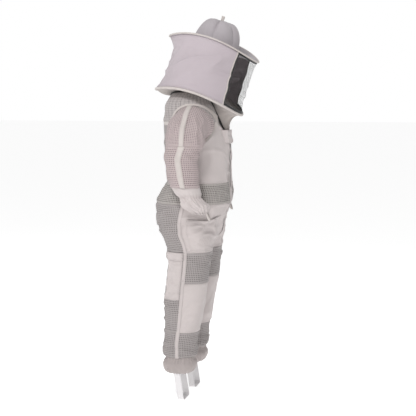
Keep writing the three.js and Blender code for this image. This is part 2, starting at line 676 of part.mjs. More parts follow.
// The veil hangs from the brim to the hoop, and sags inwards, most of all behind.
function veil(fromAngle, toAngle) {
  const low = HOOP_TUBE_R - 0.1;
  const high = brimLow - 1.2;
  return (s, t) => {
    const angle = degToRad(lerp(fromAngle, toAngle, s));
    const behind = Math.max(0, Math.sin(angle)) ** 2;
    const sag = VEIL_SAG * Math.sin(Math.PI * t) + VEIL_BACK_SAG * behind * Math.sin(Math.PI * t ** 1.6);
    const radius = HOOP_R - VEIL_INSET + VEIL_THICKNESS - sag;
    return hoodPoint(radius * Math.cos(angle), radius * Math.sin(angle), lerp(low, high, t));
  };
}
const windowEdge = WINDOW_HALF_ANGLE - 90;
add("veil_cloth", panel(veil(windowEdge, 180 - windowEdge), 24, 6, -VEIL_THICKNESS, 0), veilCotton);
add("veil_window", panel(veil(-180 - windowEdge, windowEdge), 8, 6, -VEIL_THICKNESS, 0), veilNet);

// The skirt joins the hoop to the veil's side of the neck zip, over the outer face of the zip.
function skirtFoot(share) {
  const outward = neckTangent(share).cross(neckAcross(share));
  return neckLine(share)
    .addScaledVector(neckAcross(share), NECK_TAPE_WIDTH + SEAM_GAP)
    .addScaledVector(outward, NECK_ZIP_HEIGHT);
}

// How far round the hood a point is, from the wearer's left.
function turnOf(point) {
  const turn = Math.atan2(point.y - HOOP_Y, point.x);
  return turn < -Math.PI / 2 ? turn + 2 * Math.PI : turn;
}

const skirtSpread = Math.PI / (Math.PI / 2 - turnOf(skirtFoot(0)));
function skirt(s, t) {
  const start = skirtFoot(s);
  const turn = Math.PI / 2 + (turnOf(start) - Math.PI / 2) * skirtSpread;
  const reach = HOOP_R - HOOP_TUBE_R - 3 * LAYER_GAP;
  const end = hoodPoint(reach * Math.cos(turn), reach * Math.sin(turn), -1);
  const ahead = Math.max(0, -Math.sin(turn)) ** 2;
  const middle = start.clone().lerp(end, 0.45);
  middle.z += SKIRT_RISE;
  middle.lerp(new THREE.Vector3(start.x * 0.7, lerp(start.y, end.y, 0.4), end.z), ahead);
  const u = 1 - t;
  return start.multiplyScalar(u * u).addScaledVector(middle, 2 * u * t).addScaledVector(end, t * t);
}
add("neck_skirt", panel(skirt, NECK_STEPS, 4, -SKIRT_THICKNESS, 0), veilCotton);

suit.position.z = -COLLAR_Z;

export default suit;
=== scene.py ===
"""A ventilated beekeeping suit with a zip-on round hat veil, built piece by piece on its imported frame.

Shapes are worked out in millimetres above the ground, with the wearer facing -Y and +X on the wearer's left, and
are turned into the frame's metres, whose origin is the middle of the collar, as each piece is made.
"""

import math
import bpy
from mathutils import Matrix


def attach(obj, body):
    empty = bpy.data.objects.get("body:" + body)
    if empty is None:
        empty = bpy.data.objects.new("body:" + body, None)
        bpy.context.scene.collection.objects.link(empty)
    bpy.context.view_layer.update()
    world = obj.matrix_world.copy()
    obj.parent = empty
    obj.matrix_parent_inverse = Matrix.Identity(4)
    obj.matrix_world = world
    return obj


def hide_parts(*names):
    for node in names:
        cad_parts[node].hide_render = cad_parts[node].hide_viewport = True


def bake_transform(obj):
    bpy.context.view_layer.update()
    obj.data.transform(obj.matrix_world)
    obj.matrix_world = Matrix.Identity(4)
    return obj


bl_info = {
    "name": "Beekeeping Suit",
    "version": (1, 0, 0),
    "blender": (4, 5, 0),
    "location": "3D View > Sidebar > Suit",
    "description": "Builds the cloth, net, zips and hat of a ventilated beekeeping suit",
    "category": "Object",
}

import bmesh
import bpy
from bpy.props import FloatProperty, FloatVectorProperty, IntProperty, PointerProperty
from bpy.types import Operator, Panel, PropertyGroup
from mathutils import Matrix, Vector, noise

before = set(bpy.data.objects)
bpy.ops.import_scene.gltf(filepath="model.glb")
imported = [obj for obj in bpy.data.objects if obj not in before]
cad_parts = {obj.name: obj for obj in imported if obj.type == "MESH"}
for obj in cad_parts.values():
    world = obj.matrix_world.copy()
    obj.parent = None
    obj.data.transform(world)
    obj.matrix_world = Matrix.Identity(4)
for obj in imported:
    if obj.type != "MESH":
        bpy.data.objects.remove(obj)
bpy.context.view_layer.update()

# Heights of the seams, in millimetres above the ground
COLLAR_Z = 1345
YOKE_SEAM_Z = 1205
CHEST_SEAM_Z = 950
WAIST_SEAM_Z = 860
CROTCH_Z = 745
THIGH_SEAM_Z = 655
KNEE_TOP_Z = 520
KNEE_BOTTOM_Z = 303
KNEE_STRIP_Z = 535
CUFF_TOP_Z = 190
HEM_Z = 118

# Cloth
NET_THICKNESS = 3.0
COTTON_THICKNESS = 1.2
SECTION_POWER = 2.4
NARROWEST_SHEET = 10

TORSO_ROWS = (
    # height, half width, front, back
    (745, 182, -131, 141),
    (790, 184, -140, 150),
    (860, 182, -168, 150),
    (905, 178, -169.7, 135),
    (950, 176, -167.4, 108),
    (1050, 184, -162.2, 110),
    (1130, 187, -158, 114),
    (1205, 186, -130, 116),
    (1275, 181, -112, 110),
    (1300, 170, -104, 104),
    (1325, 142, -98, 90),
    (1345, 112, -88, 70),
)
LEG_ROWS = (
    # height, centre x, centre y, half width, half depth
    (118, 104, 38, 50, 52),
    (132, 104, 37, 61, 67),
    (160, 104, 35, 66, 74),
    (184, 103, 33, 57, 62),
    (200, 103, 34, 63, 72),
    (231, 102, 34, 65, 73),
    (262, 102, 33, 67, 74),
    (313, 101, 26, 71, 78),
    (369, 100, 19, 75, 84),
    (444, 99, 11, 79, 89),
    (534, 97, 1.5, 83, 93.5),
    (595, 96, -5, 85, 93),
    (655, 94, -8, 87, 98),
)
INSEAM_ANGLE = 140
SLEEVE_ROWS = (
    # height, centre x, centre y, half width, half depth
    (830, 232, -88, 32, 38),
    (855, 234, -72, 38, 46),
    (880, 236, -56, 36, 43),
    (905, 238, -40, 43, 54),
    (940, 240, -26, 46, 60),
    (1005, 242, -14, 50, 69),
    (1060, 243, -8, 52, 72),
    (1112, 243, -22, 52, 81),
)
ARMHOLE_R = 82
ARMHOLE_X = 189
ARMHOLE_Y = -35
ARMHOLE_Z = 1197
ARMPIT_R = 2
ELBOW_TOP_Z = ARMHOLE_Z - ARMHOLE_R - ARMPIT_R
SLEEVE_CUFF_TOP_Z = 940
SLEEVE_END_Z = 830

# Pockets: the heights between which they lie
HIP_POCKET = (662, 800)
THIGH_POCKET = (448, 640)
THIGH_FLAP = (622, 654)

# Zips
ANKLE_TAPE = (122, 298)
ANKLE_SLIDER_Z = 206
NECK_TOOTH_PITCH = 3.2
FRONT_TOOTH_PITCH = 2.2
THROAT_FLAP = (1122, 1176)
ZIP_HALF_WIDTH = 17.6
ZIP_BOTTOM_Z = 750
THROAT_Z = 1150
FRONT_SLIDER_Z = 1100
NECK_EDGE_MARGIN = 7
NECK_CORNER_ANGLE = -48
NECK_ROWS = (
    # angle round the neck from the wearer's left, height
    (NECK_CORNER_ANGLE, 1312),
    (-22, 1335),
    (5, 1342),
    (45, 1336),
    (90, 1322),
)
NECK_CORNER_SHARE = 0.27
NECK_AIM = Vector((0, -60, 1410))
NECK_SLIDER_SHARE = 0.035

# Hood
HOOD_LEAN = 16.5
HOOD_SADDLE = 44
HOOP_Y = -26
HOOP_Z = 1295
HOOP_R = 197
HOOP_TUBE_R = 4.5
BRIM_HEIGHT = 236
BRIM_R = 198
BRIM_THICKNESS = 3
CROWN_R = 102
CROWN_HEIGHT = 137
WINDOW_HALF_ANGLE = 46

SIDES = (("left", 1), ("right", -1))


# ---- Placing ----


def metres(point):
    """A point in the frame's metres, from millimetres above the ground."""
    return Vector((point.x / 1000, point.y / 1000, (point.z - COLLAR_Z) / 1000))


def lerp(a, b, share):
    return a + (b - a) * share


def clamp(value, low=0.0, high=1.0):
    return max(low, min(high, value))


def smoothstep(value, low, high):
    t = clamp((value - low) / (high - low))
    return t * t * (3 - 2 * t)


def bump(value, middle, spread):
    return math.exp(-(((value - middle) / spread) ** 2))


def profile(rows):
    """The values of a table's rows at any place along its first column, on a smooth curve."""
    slopes = []
    for i in range(len(rows)):
        before, after = rows[max(i - 1, 0)], rows[min(i + 1, len(rows) - 1)]
        slopes.append([(after[k] - before[k]) / (after[0] - before[0]) for k in range(1, len(rows[0]))])

    def at(place):
        i = next((n for n in range(1, len(rows)) if place <= rows[n][0]), len(rows) - 1)
        low, high = rows[i - 1], rows[i]
        span = high[0] - low[0]
        t = clamp((place - low[0]) / span)
        t2, t3 = t * t, t * t * t
        return [
            (2 * t3 - 3 * t2 + 1) * low[k + 1]
            + (t3 - 2 * t2 + t) * span * slopes[i - 1][k]
            + (3 * t2 - 2 * t3) * high[k + 1]
            + (t3 - t2) * span * slopes[i][k]
            for k in range(len(low) - 1)
        ]

    return at


torso_size = profile(TORSO_ROWS)
leg_size = profile(LEG_ROWS)
sleeve_size = profile(SLEEVE_ROWS)
neck_height = profile(NECK_ROWS)


def on_section(angle, z, centre_x, centre_y, half_width, half_depth):
    """A point on a rounded section, at an angle from +X, anticlockwise from above."""
    c, s = math.cos(math.radians(angle)), math.sin(math.radians(angle))
    reach = (abs(c / half_width) ** SECTION_POWER + abs(s / half_depth) ** SECTION_POWER) ** (
        -1 / SECTION_POWER
    )
    return Vector((centre_x + reach * c, centre_y + reach * s, z))


def torso(angle, z):
    half_width, front, back = torso_size(z)
    return on_section(angle, z, 0, (front + back) / 2, half_width, (back - front) / 2)


def leg(angle, z):
    return on_section(angle, z, *leg_size(z))


def angle_at_x(x, z):
    """The angle, left of centre front, at which the torso is this far from the middle."""
    half_width, front, back = torso_size(z)
    depth = (back - front) / 2 * (1 - (x / half_width) ** SECTION_POWER) ** (1 / SECTION_POWER)
    return math.degrees(math.atan2(-depth, x))


def zip_edge_angle(z):
    return angle_at_x(ZIP_HALF_WIDTH, z)


def hip(share, z):
    """The outer half of the left hip, from centre front round the side to centre back."""
    on_torso = torso(lerp(zip_edge_angle(z), 90, share), z)
    if z >= CROTCH_Z:
        return on_torso
    on_leg = leg(lerp(-INSEAM_ANGLE, INSEAM_ANGLE, share), z)
    return on_torso.lerp(on_leg, 1 - smoothstep(z, THIGH_SEAM_Z, CROTCH_Z))


def inner_thigh(share, z):
    """The inner thigh, from back to front, which starts as a wall down the middle of the crotch."""
    inset = 4
    _, front, back = torso_size(CROTCH_Z)
    on_wall = Vector((2.5, lerp(back - inset, front + inset, share), z))
    on_leg = leg(lerp(INSEAM_ANGLE, 360 - INSEAM_ANGLE, share), z)
    return on_wall.lerp(on_leg, 1 - smoothstep(z, THIGH_SEAM_Z, CROTCH_Z))


# ---- Neck zip line ----

v_foot = torso(zip_edge_angle(THROAT_Z), THROAT_Z)
v_top = torso(NECK_CORNER_ANGLE, neck_height(NECK_CORNER_ANGLE)[0])


def neck_line(share):
    """The neck zip: 0 is the foot of the V on the left, 0.5 centre back and 1 the foot on the right."""
    if share > 0.5:
        point = neck_line(1 - share)
        point.x *= -1
        return point
    if share < NECK_CORNER_SHARE:
        return v_foot.lerp(v_top, share / NECK_CORNER_SHARE)
    angle = lerp(NECK_CORNER_ANGLE, 90, (share - NECK_CORNER_SHARE) / (0.5 - NECK_CORNER_SHARE))
    return torso(angle, neck_height(angle)[0])


def neck_axes(share):
    """Along the zip, across it towards the veil, and out of the cloth."""
    step = 4e-3
    along = (neck_line(share + step) - neck_line(share - step)).normalized()
    aim = NECK_AIM - neck_line(share)
    across = (aim - along * aim.dot(along)).normalized()
    return along, across, along.cross(across)


def neck_edge(angle):
    """The height of the neck opening's edge at an angle round the torso."""
    turned = 180 - angle if angle > 90 else angle
    if turned >= NECK_CORNER_ANGLE:
        return neck_height(turned)[0] - NECK_EDGE_MARGIN * 0.4
    low, high = 0.0, 1.0
    for _ in range(24):
        middle = (low + high) / 2
        point = v_foot.lerp(v_top, middle)
        _, front, back = torso_size(point.z)
        if math.degrees(math.atan2(point.y - (front + back) / 2, point.x)) < turned:
            low = middle
        else:
            high = middle
    return lerp(v_foot.z, v_top.z, low) - NECK_EDGE_MARGIN * 0.7


# ---- Hood ----

hood_matrix = Matrix.Translation((0, HOOP_Y, HOOP_Z)) @ Matrix.Rotation(math.radians(HOOD_LEAN), 4, "X")


def hood_point(x, y, z):
    return hood_matrix @ Vector((x, y, z + HOOD_SADDLE * (x / HOOP_R) ** 2))


def hood_ring(angle, radius, height):
    turn = math.radians(angle)
    return hood_point(radius * math.cos(turn), radius * math.sin(turn), height)


# ---- Folds: how far the cloth stands out from the smooth shape, in millimetres ----


def ripple(point, size, stretch=(1, 1, 1), seed=0.0):
    place = Vector(point[i] * stretch[i] / size for i in range(3))
    return noise.noise(place + Vector((seed, seed * 1.7, -seed * 0.6)))


def crease(point, size, stretch=(1, 1, 1), seed=0.0):
    """Sharp soft-edged ridges, from 0 to 1."""
    return (1 - min(1, abs(ripple(point, size, stretch, seed)) * 2.6)) ** 2


def body_folds(point):
    x, y, z = point
    fold = 6.5 * ripple(point, 105, (1, 1, 0.7), 3.1) + 2.8 * ripple(point, 38, (1, 1, 0.8), 8.4) - 2
    if z > 700:
        slant = (x, y, z - 0.5 * abs(x) + 0.4 * y)
        fold += 6.0 * crease(slant, 130, (0.8, 0.8, 1.9), 5.2) * smoothstep(z, 700, 800)
        fold += 4.0 * bump(z, 905, 60) * crease(point, 52, (1.6, 1.6, 0.5), 1.3)
        fold += 6.5 * bump(z, 770, 70) * crease(point, 85, (1.2, 1, 2.1), 6.6)
        fold *= 1 - 0.7 * smoothstep(z, 1240, 1320)
    else:
        side = 1 if x > 0 else -1
        centre_x, centre_y, _, _ = leg_size(max(z, HEM_Z))
        behind = smoothstep(y - centre_y, -30, 60)
        fold += 7.5 * behind * bump(z, 450, 95) * crease(point, 72, (0.7, 1, 2.2), 2.2)
        fold += 6.0 * crease((x * side, y, z + 0.5 * y), 90, (1, 1, 1.7), 7.7) * bump(z, 330, 150)
        fold += 6.5 * bump(z, 225, 34) * crease(point, 46, (0.6, 0.6, 1.9), 4.4)
        fold += 6.0 * bump(z, 640, 60) * crease(point, 70, (1, 1, 2.4), 9.1)
        beside_zip = bump(abs(x), centre_x - 12, 18) * smoothstep(y - centre_y, 10, 40)
        fold *= 1 - 0.95 * beside_zip * (1 - smoothstep(z, 300, 330))
    return fold


def gathers(angle, z, pinch_z, count, depth):
    """Small pleats where elastic draws the cloth in."""
    wave = math.cos(math.radians(angle) * count + 1.4 * math.sin(math.radians(angle) * 5))
    return depth * wave * bump(z, pinch_z, 24)


def sleeve_folds(point):
    x, y, z = point
    fold = 5.5 * ripple(point, 80, (1.3, 1.3, 0.6), 4.7) + 2.4 * ripple(point, 34, (1, 1, 0.8), 2.6) - 2
    _, centre_y, _, _ = sleeve_size(clamp(z, SLEEVE_END_Z, ELBOW_TOP_Z))
    ahead = smoothstep(centre_y - y, -50, 50)
    slant = (x, y, z - 0.55 * (y - centre_y))
    fold += 10.0 * ahead * bump(z, 1065, 80) * crease(slant, 88, (0.5, 0.6, 2.0), 1.9)
    fold += 6.0 * (1 - ahead) * bump(z, 1040, 120) * crease(slant, 95, (0.6, 1, 1.6), 6.3)
    fold += 7.0 * bump(z, 1185, 70) * crease(point, 62, (1.5, 1.5, 0.45), 8.8)
    fold += 6.0 * bump(z, 960, 36) * crease(point, 60, (0.6, 0.8, 2.4), 3.3)
    return fold * (1 - 0.75 * smoothstep(z, 1215, 1268))


# ---- Meshes ----


def lines(length, step, seam):
    """Places along a panel, from 0 to 1, with extra ones beside a sewn edge."""
    edge = [0, 1.2, 2.6, 8.0, 9.6] if seam and length > 34 else [0]
    inner = edge[-1]
    count = max(2, round((length - 2 * inner) / step))
    middle = [inner + (length - 2 * inner) * i / count for i in range(1, count)]
    places = edge + middle + [length - place for place in reversed(edge)]
    return [place / length for place in places]


def length_of(path, steps=14):
    points = [path(i / steps) for i in range(steps + 1)]
    return sum((b - a).length for a, b in zip(points, points[1:]))


def seam_lift(distance):
    """A felled edge: a groove at the seam itself, and two layers beside it."""
    return 0.7 * (1 - smoothstep(distance, 7.5, 10.5)) - 1.5 * (1 - smoothstep(distance, 0.6, 3.0))


def sheet(name, surface, material, step=5.0, lift=0.0, thickness=COTTON_THICKNESS, folds=None, seam=True,
          closed=False, pole=False, keep=None, flip=False, settle=None, held="stretched"):
    """A piece of cloth on surface(s, t), where s and t run from 0 to 1, with its UV maps in metres.

    `flip` is for a surface whose s and t turn the other way, `settle` is the share of the folds that a piece sewn
    on top of another takes from it, and `held` says how a cut sheet hangs, or is None for padding, though nothing
    that is built depends on it.
    than NARROWEST_SHEET is not declared.
    """
    width = max(length_of(lambda share: surface(share, t)) for t in (0.15, 0.5, 0.85))
    height = length_of(lambda share: surface(0.5, share))
    across = lines(width, step, seam and not closed)
    upward = lines(height, step, seam and not pole)
    columns, rows = len(across) - 1, len(upward) - 1
    mesh = bmesh.new()
    bmesh.ops.create_grid(mesh, x_segments=columns, y_segments=rows, size=1)
    weave = mesh.loops.layers.uv.new("weave")
    stitch = mesh.loops.layers.uv.new("stitch")
    base = [[surface(s, t) for t in upward] for s in across]
    spots = {}
    for vertex in mesh.verts:
        i = round((vertex.co.x + 1) / 2 * columns)
        j = round((vertex.co.y + 1) / 2 * rows)
        spots[vertex] = (i, j)
        if closed:
            left, right = base[(i - 1) % columns][j], base[(i + 1) % columns][j]
        else:
            left, right = base[max(i - 1, 0)][j], base[min(i + 1, columns)][j]
        down, up = base[i][max(j - 1, 0)], base[i][min(j + 1, rows)]
        normal = (right - left).cross(up - down) * (-1 if flip else 1)
        normal = normal.normalized() if normal.length > 1e-6 else Vector((0, 0, 1))
        side = 1e3 if closed else min(across[i], 1 - across[i]) * width
        end = 1e3 if pole else min(upward[j], 1 - upward[j]) * height
        rise = lift(across[i], upward[j]) if callable(lift) else lift
        if seam:
            rise += seam_lift(min(side, end))
        if folds:
            rise += folds(base[i][j]) * (settle or smoothstep(min(side, end), -14, 16))
        vertex.co = metres(base[i][j] + normal * rise)
    for face in mesh.faces:
        face.smooth = True
        for loop in face.loops:
            i, j = spots[loop.vert]
            if closed and i == 0 and any(spots[v][0] == columns - 1 for v in face.verts):
                i = columns
            u, v = across[i] * width / 1000, upward[j] * height / 1000
            loop[weave].uv = (u, v)
            side = 1.0 if closed else min(u, width / 1000 - u)
            end = 1.0 if pole else min(v, height / 1000 - v)
            loop[stitch].uv = (u, end) if end < side else (v, side)
    if keep:
        gone = [face for face in mesh.faces if not keep(face.calc_center_median() * 1000)]
        bmesh.ops.delete(mesh, geom=gone, context="FACES")
    if closed or pole:
        bmesh.ops.remove_doubles(mesh, verts=mesh.verts, dist=1e-6)
    if flip:
        bmesh.ops.reverse_faces(mesh, faces=mesh.faces)
    area = sum(face.calc_area() for face in mesh.faces)
    piece = finished(name, mesh, material, thickness)
    if held and min(width, height) > NARROWEST_SHEET:
        flat = (width / 1000, height / 1000)
        clamp(area, 0.31 * flat[0] * flat[1], flat[0] * flat[1])
    return piece


def finished(name, mesh, material, thickness=0.0):
    data = bpy.data.meshes.new(name)
    mesh.to_mesh(data)
    mesh.free()
    piece = bpy.data.objects.new(name, data)
    bpy.context.scene.collection.objects.link(piece)
    data.materials.append(material)
    if thickness:
        wall = piece.modifiers.new("wall", "SOLIDIFY")
        wall.thickness = thickness / 1000
        wall.offset = -1
        wall.use_even_offset = False
    return piece


def mirrored(surface, side):
    """The same surface on the wearer's right, still facing outwards."""
    if side > 0:
        return surface

    def other(s, t):
        point = surface(1 - s, t)
        return Vector((-point.x, point.y, point.z))

    return other


def tube(name, path, radius, material, length_step=6, around=10, closed=True, flat=1.0, up=Vector((0, 0, 1))):
    """A round or flattened cord along path(share), in its own UV map's metres."""

    def surface(s, t):
        step = 2e-3
        along = (path((s + step) % 1 if closed else s + step) - path((s - step) % 1 if closed else s - step))
        along.normalize()
        sideways = along.cross(up).normalized()
        over = sideways.cross(along)
        turn = 2 * math.pi * t
        return path(s) + sideways * (radius * math.cos(turn)) - over * (radius * flat * math.sin(turn))

    mesh = bmesh.new()
    length = length_of(path, 40)
    columns = max(8, round(length / length_step))
    bmesh.ops.create_grid(mesh, x_segments=columns, y_segments=around, size=1)
    weave = mesh.loops.layers.uv.new("weave")
    spots = {}
    for vertex in mesh.verts:
        s, t = (vertex.co.x + 1) / 2, (vertex.co.y + 1) / 2
        spots[vertex] = (s * length / 1000, t * 2 * math.pi * radius / 1000)
        vertex.co = metres(surface(s, t))
    for face in mesh.faces:
        face.smooth = True
        for loop in face.loops:
            loop[weave].uv = spots[loop.vert]
    bmesh.ops.remove_doubles(mesh, verts=mesh.verts, dist=1e-6)
    bmesh.ops.holes_fill(mesh, edges=mesh.edges)
    bmesh.ops.recalc_face_normals(mesh, faces=mesh.faces)
    return finished(name, mesh, material)


def panel(name, surface, material, **options):
    """A cut panel with the body's folds, as fine as the user asks."""
    usual = {
        "step": bpy.context.scene.suit_sizes.detail,
        "thickness": NET_THICKNESS if material.endswith("net") else COTTON_THICKNESS,
        "folds": body_folds,
        "held": "hung",
    }
    return sheet(name, surface, finish(material), **{**usual, **options})


def patch(name, surface, lift, side):
    """A pocket or its flap: two layers of cotton that take the folds of the panel under them."""
    detail = bpy.context.scene.suit_sizes.detail * 0.8
    other = lift if side > 0 else (lambda s, t: lift(1 - s, t))
    return panel(name, mirrored(surface, side), "cotton twill", step=detail, lift=other, thickness=1.6, settle=1.0)


def band(name, surface, material, step=3, **options):
    """Tape or another narrow strip without felled edges."""
    return sheet(name, surface, finish(material), step, seam=False, **options)


def torso_panel(from_angle, to_angle, bottom, top):
    """Part of the torso between two angles and two heights, each a number or a function."""

    def surface(s, t):
        first = from_angle(bottom) if callable(from_angle) else from_angle
        angle = lerp(first, to_angle, s)
        high = top(angle) if callable(top) else top
        z = lerp(bottom, high, t)
        if callable(from_angle):
            angle = lerp(from_angle(z), to_angle, s)
        return torso(angle, z)

    return surface


def leg_panel(low_angle, high_angle, low, high):
    return lambda s, t: leg(lerp(low_angle, high_angle, s), lerp(low, high, t))


def hip_panel(low_share, high_share, low, high):
    return lambda s, t: hip(lerp(low_share, high_share, s), lerp(low, high, t))


def outside_armholes(point):
    """Keeps a torso face, whose place is in the frame's millimetres, clear of the sleeves' openings."""
    if abs(point.x) < 100:
        return True
    return math.hypot(point.y - ARMHOLE_Y, point.z + COLLAR_Z - ARMHOLE_Z) > ARMHOLE_R - 5


# ---- Materials ----


class Shader:
    """A short way to write a material's nodes."""

    def __init__(self, name):
        self.material = bpy.data.materials.new(name)
        self.material.use_nodes = True
        self.tree = self.material.node_tree
        self.tree.nodes.clear()
        self.surface = self.tree.nodes.new("ShaderNodeBsdfPrincipled")
        output = self.tree.nodes.new("ShaderNodeOutputMaterial")
        self.tree.links.new(self.surface.outputs[0], output.inputs["Surface"])

    def node(self, kind, **settings):
        made = self.tree.nodes.new(kind)
        for key, value in settings.items():
            setattr(made, key, value)
        return made

    def plug(self, value, socket):
        if isinstance(value, bpy.types.NodeSocket):
            self.tree.links.new(value, socket)
        else:
            socket.default_value = value

    def math(self, operation, *values):
        made = self.node("ShaderNodeMath", operation=operation)
        for value, socket in zip(values, made.inputs):
            self.plug(value, socket)
        return made.outputs[0]

    def step(self, value, low, high):
        made = self.node("ShaderNodeMapRange", interpolation_type="SMOOTHSTEP")
        for socket, given in zip(made.inputs, (value, low, high, 0.0, 1.0)):
            self.plug(given, socket)
        return made.outputs[0]

    def mix(self, share, first, second):
        made = self.node("ShaderNodeMix", data_type="RGBA")
        self.plug(share, made.inputs[0])
        self.plug((*first, 1) if isinstance(first, tuple) else first, made.inputs[6])
        self.plug((*second, 1) if isinstance(second, tuple) else second, made.inputs[7])
        return made.outputs[2]

    def uv(self, layer):
        made = self.node("ShaderNodeUVMap", uv_map=layer)
        parts = self.node("ShaderNodeSeparateXYZ")
        self.tree.links.new(made.outputs[0], parts.inputs[0])
        return parts.outputs[0], parts.outputs[1], made.outputs[0]

    def place(self):
        return self.node("ShaderNodeTexCoord").outputs["Object"]

    def cloud(self, vector, scale, detail=3.0, roughness=0.55):
        made = self.node("ShaderNodeTexNoise")
        self.plug(vector, made.inputs["Vector"])
        self.plug(scale, made.inputs["Scale"])
        self.plug(detail, made.inputs["Detail"])
        self.plug(roughness, made.inputs["Roughness"])
        return made.outputs["Fac"]

    def bumps(self, height, distance, strength=1.0):
        made = self.node("ShaderNodeBump")
        self.plug(strength, made.inputs["Strength"])
        self.plug(distance, made.inputs["Distance"])
        self.plug(height, made.inputs["Height"])
        self.tree.links.new(made.outputs[0], self.surface.inputs["Normal"])

    def set(self, **values):
        for key, value in values.items():
            self.plug(value, self.surface.inputs[key.replace("_", " ")])

    def stitches(self, rows=(0.0032, 0.0078), pitch=0.0032):
        """Rows of thread beside a piece's edges, from its stitch map."""
        along, inward, _ = self.uv("stitch")
        dash = self.step(self.math("PINGPONG", along, pitch / 2), pitch * 0.1, pitch * 0.16)
        thread = 0.0
        for row in rows:
            near = self.math("ABSOLUTE", self.math("SUBTRACT", inward, row))
            line = self.math("SUBTRACT", 1.0, self.step(near, 0.00025, 0.0006))
            thread = self.math("ADD", line, thread)
        return self.math("MULTIPLY", thread, dash)

    def twill(self, pitch):
        """Fine diagonal ribs of a woven cloth, from 0 to 1."""
        u, v, _ = self.uv("weave")
        diagonal = self.math("ADD", u, self.math("MULTIPLY", v, 1.7))
        rib = self.math("SINE", self.math("MULTIPLY", diagonal, 2 * math.pi / pitch))
        thread = self.math("SINE", self.math("MULTIPLY", v, 2 * math.pi / (pitch * 0.8)))
        return self.math("MULTIPLY_ADD", self.math("MULTIPLY", rib, thread), 0.5, 0.5)


def woven(name, colour, shade, twill=0.0011, sewn=True, sheen=0.25):
    """Cotton: a soft twill with faint creases, broad patches of soil and painted shade, and rows of stitching."""
    cloth = Shader(name)
    place = cloth.place()
    wide = cloth.cloud(place, 9.0, 4.0)
    fine = cloth.cloud(place, 160.0, 2.0)
    # Broad patches towards the shade tone: partly soil, partly painted shade on the creases that the same noise
    # bumps in.
    tone = cloth.mix(cloth.step(wide, 0.35, 0.7), colour, shade)
    rib = cloth.twill(twill)
    dark = tuple(c * 0.82 for c in shade)
    tone = cloth.mix(cloth.math("MULTIPLY", cloth.math("SUBTRACT", 1.0, rib), 0.16), tone, dark)
    tone = cloth.mix(cloth.math("MULTIPLY", fine, 0.12), tone, dark)
    height = cloth.math("ADD", cloth.math("MULTIPLY", rib, 0.5), cloth.math("MULTIPLY", wide, 3.0))
    if sewn:
        thread = cloth.stitches()
        tone = cloth.mix(cloth.math("MULTIPLY", thread, 0.5), tone, tuple(c * 0.7 for c in shade))
        height = cloth.math("SUBTRACT", height, cloth.math("MULTIPLY", thread, 1.2))
    cloth.bumps(height, 0.0005, 0.7)
    cloth.set(Base_Color=tone, Roughness=0.88, Sheen_Weight=sheen, Sheen_Roughness=0.5)
    cloth.surface.inputs["Specular IOR Level"].default_value = 0.2
    return cloth.material


def open_net(name, thread, painted_hole_shade, pitch=0.0080, hole_size=0.29, ribs=0.0):
    """Three layers of open net: a coarse square-holed face over a fine net, with painted shade in the holes and
    stitched edges.
    """
    cloth = Shader(name)
    u, v, _ = cloth.uv("weave")
    place = cloth.place()
    column = cloth.math("SUBTRACT", cloth.math("FRACT", cloth.math("DIVIDE", u, pitch)), 0.5)
    row = cloth.math("SUBTRACT", cloth.math("FRACT", cloth.math("DIVIDE", v, pitch * 1.05)), 0.5)
    across = cloth.math("POWER", cloth.math("ABSOLUTE", column), 2.6)
    upward = cloth.math("POWER", cloth.math("ABSOLUTE", row), 2.6)
    reach = cloth.math("POWER", cloth.math("ADD", across, upward), 1 / 2.6)
    opening = cloth.math("SUBTRACT", 1.0, cloth.step(reach, hole_size - 0.05, hole_size + 0.05))
    small = pitch / 4
    inner_u = cloth.math("PINGPONG", cloth.math("ADD", u, cloth.math("MULTIPLY", v, 0.5)), small / 2)
    inner_v = cloth.math("PINGPONG", v, small / 2)
    lattice = cloth.math("MAXIMUM", cloth.step(inner_u, small * 0.33, small * 0.42),
                         cloth.step(inner_v, small * 0.33, small * 0.42))
    wide = cloth.cloud(place, 11.0, 4.0)
    yarn = cloth.cloud(place, 900.0, 2.0)
    # The holes show the fine inner net over painted shade, a dark colour standing for the shade inside the suit.
    deep = cloth.mix(cloth.math("MULTIPLY", lattice, 0.45), painted_hole_shade, thread)
    deep = cloth.mix(cloth.math("MULTIPLY", cloth.step(wide, 0.3, 0.75), 0.3), deep, thread)
    face = cloth.mix(cloth.math("MULTIPLY", yarn, 0.3), thread, tuple(c * 0.72 for c in thread))
    edge = cloth.uv("stitch")[1]
    border = cloth.math("SUBTRACT", 1.0, cloth.step(edge, 0.0085, 0.0100))
    opening = cloth.math("MULTIPLY", opening, cloth.math("SUBTRACT", 1.0, cloth.math("MULTIPLY", border, 0.65)))
    tone = cloth.mix(opening, face, deep)
    height = cloth.math("SUBTRACT", cloth.math("MULTIPLY", yarn, 0.25), opening)
    if ribs:
        wave = cloth.math("SINE", cloth.math("MULTIPLY", u, 2 * math.pi / ribs))
        groove = cloth.step(wave, 0.2, 0.95)
        # The rib grooves are darkened with the painted hole shade.
        tone = cloth.mix(cloth.math("MULTIPLY", groove, 0.26), tone, painted_hole_shade)
        height = cloth.math("SUBTRACT", height, cloth.math("MULTIPLY", groove, 0.8))
    thread_rows = cloth.stitches((0.0030, 0.0070))
    tone = cloth.mix(cloth.math("MULTIPLY", thread_rows, 0.5), tone, tuple(c * 0.6 for c in thread))
    cloth.bumps(height, 0.0012, 0.8)
    cloth.set(Base_Color=tone, Roughness=0.92, Sheen_Weight=0.15, Sheen_Roughness=0.5)
    cloth.surface.inputs["Specular IOR Level"].default_value = 0.15
    return cloth.material


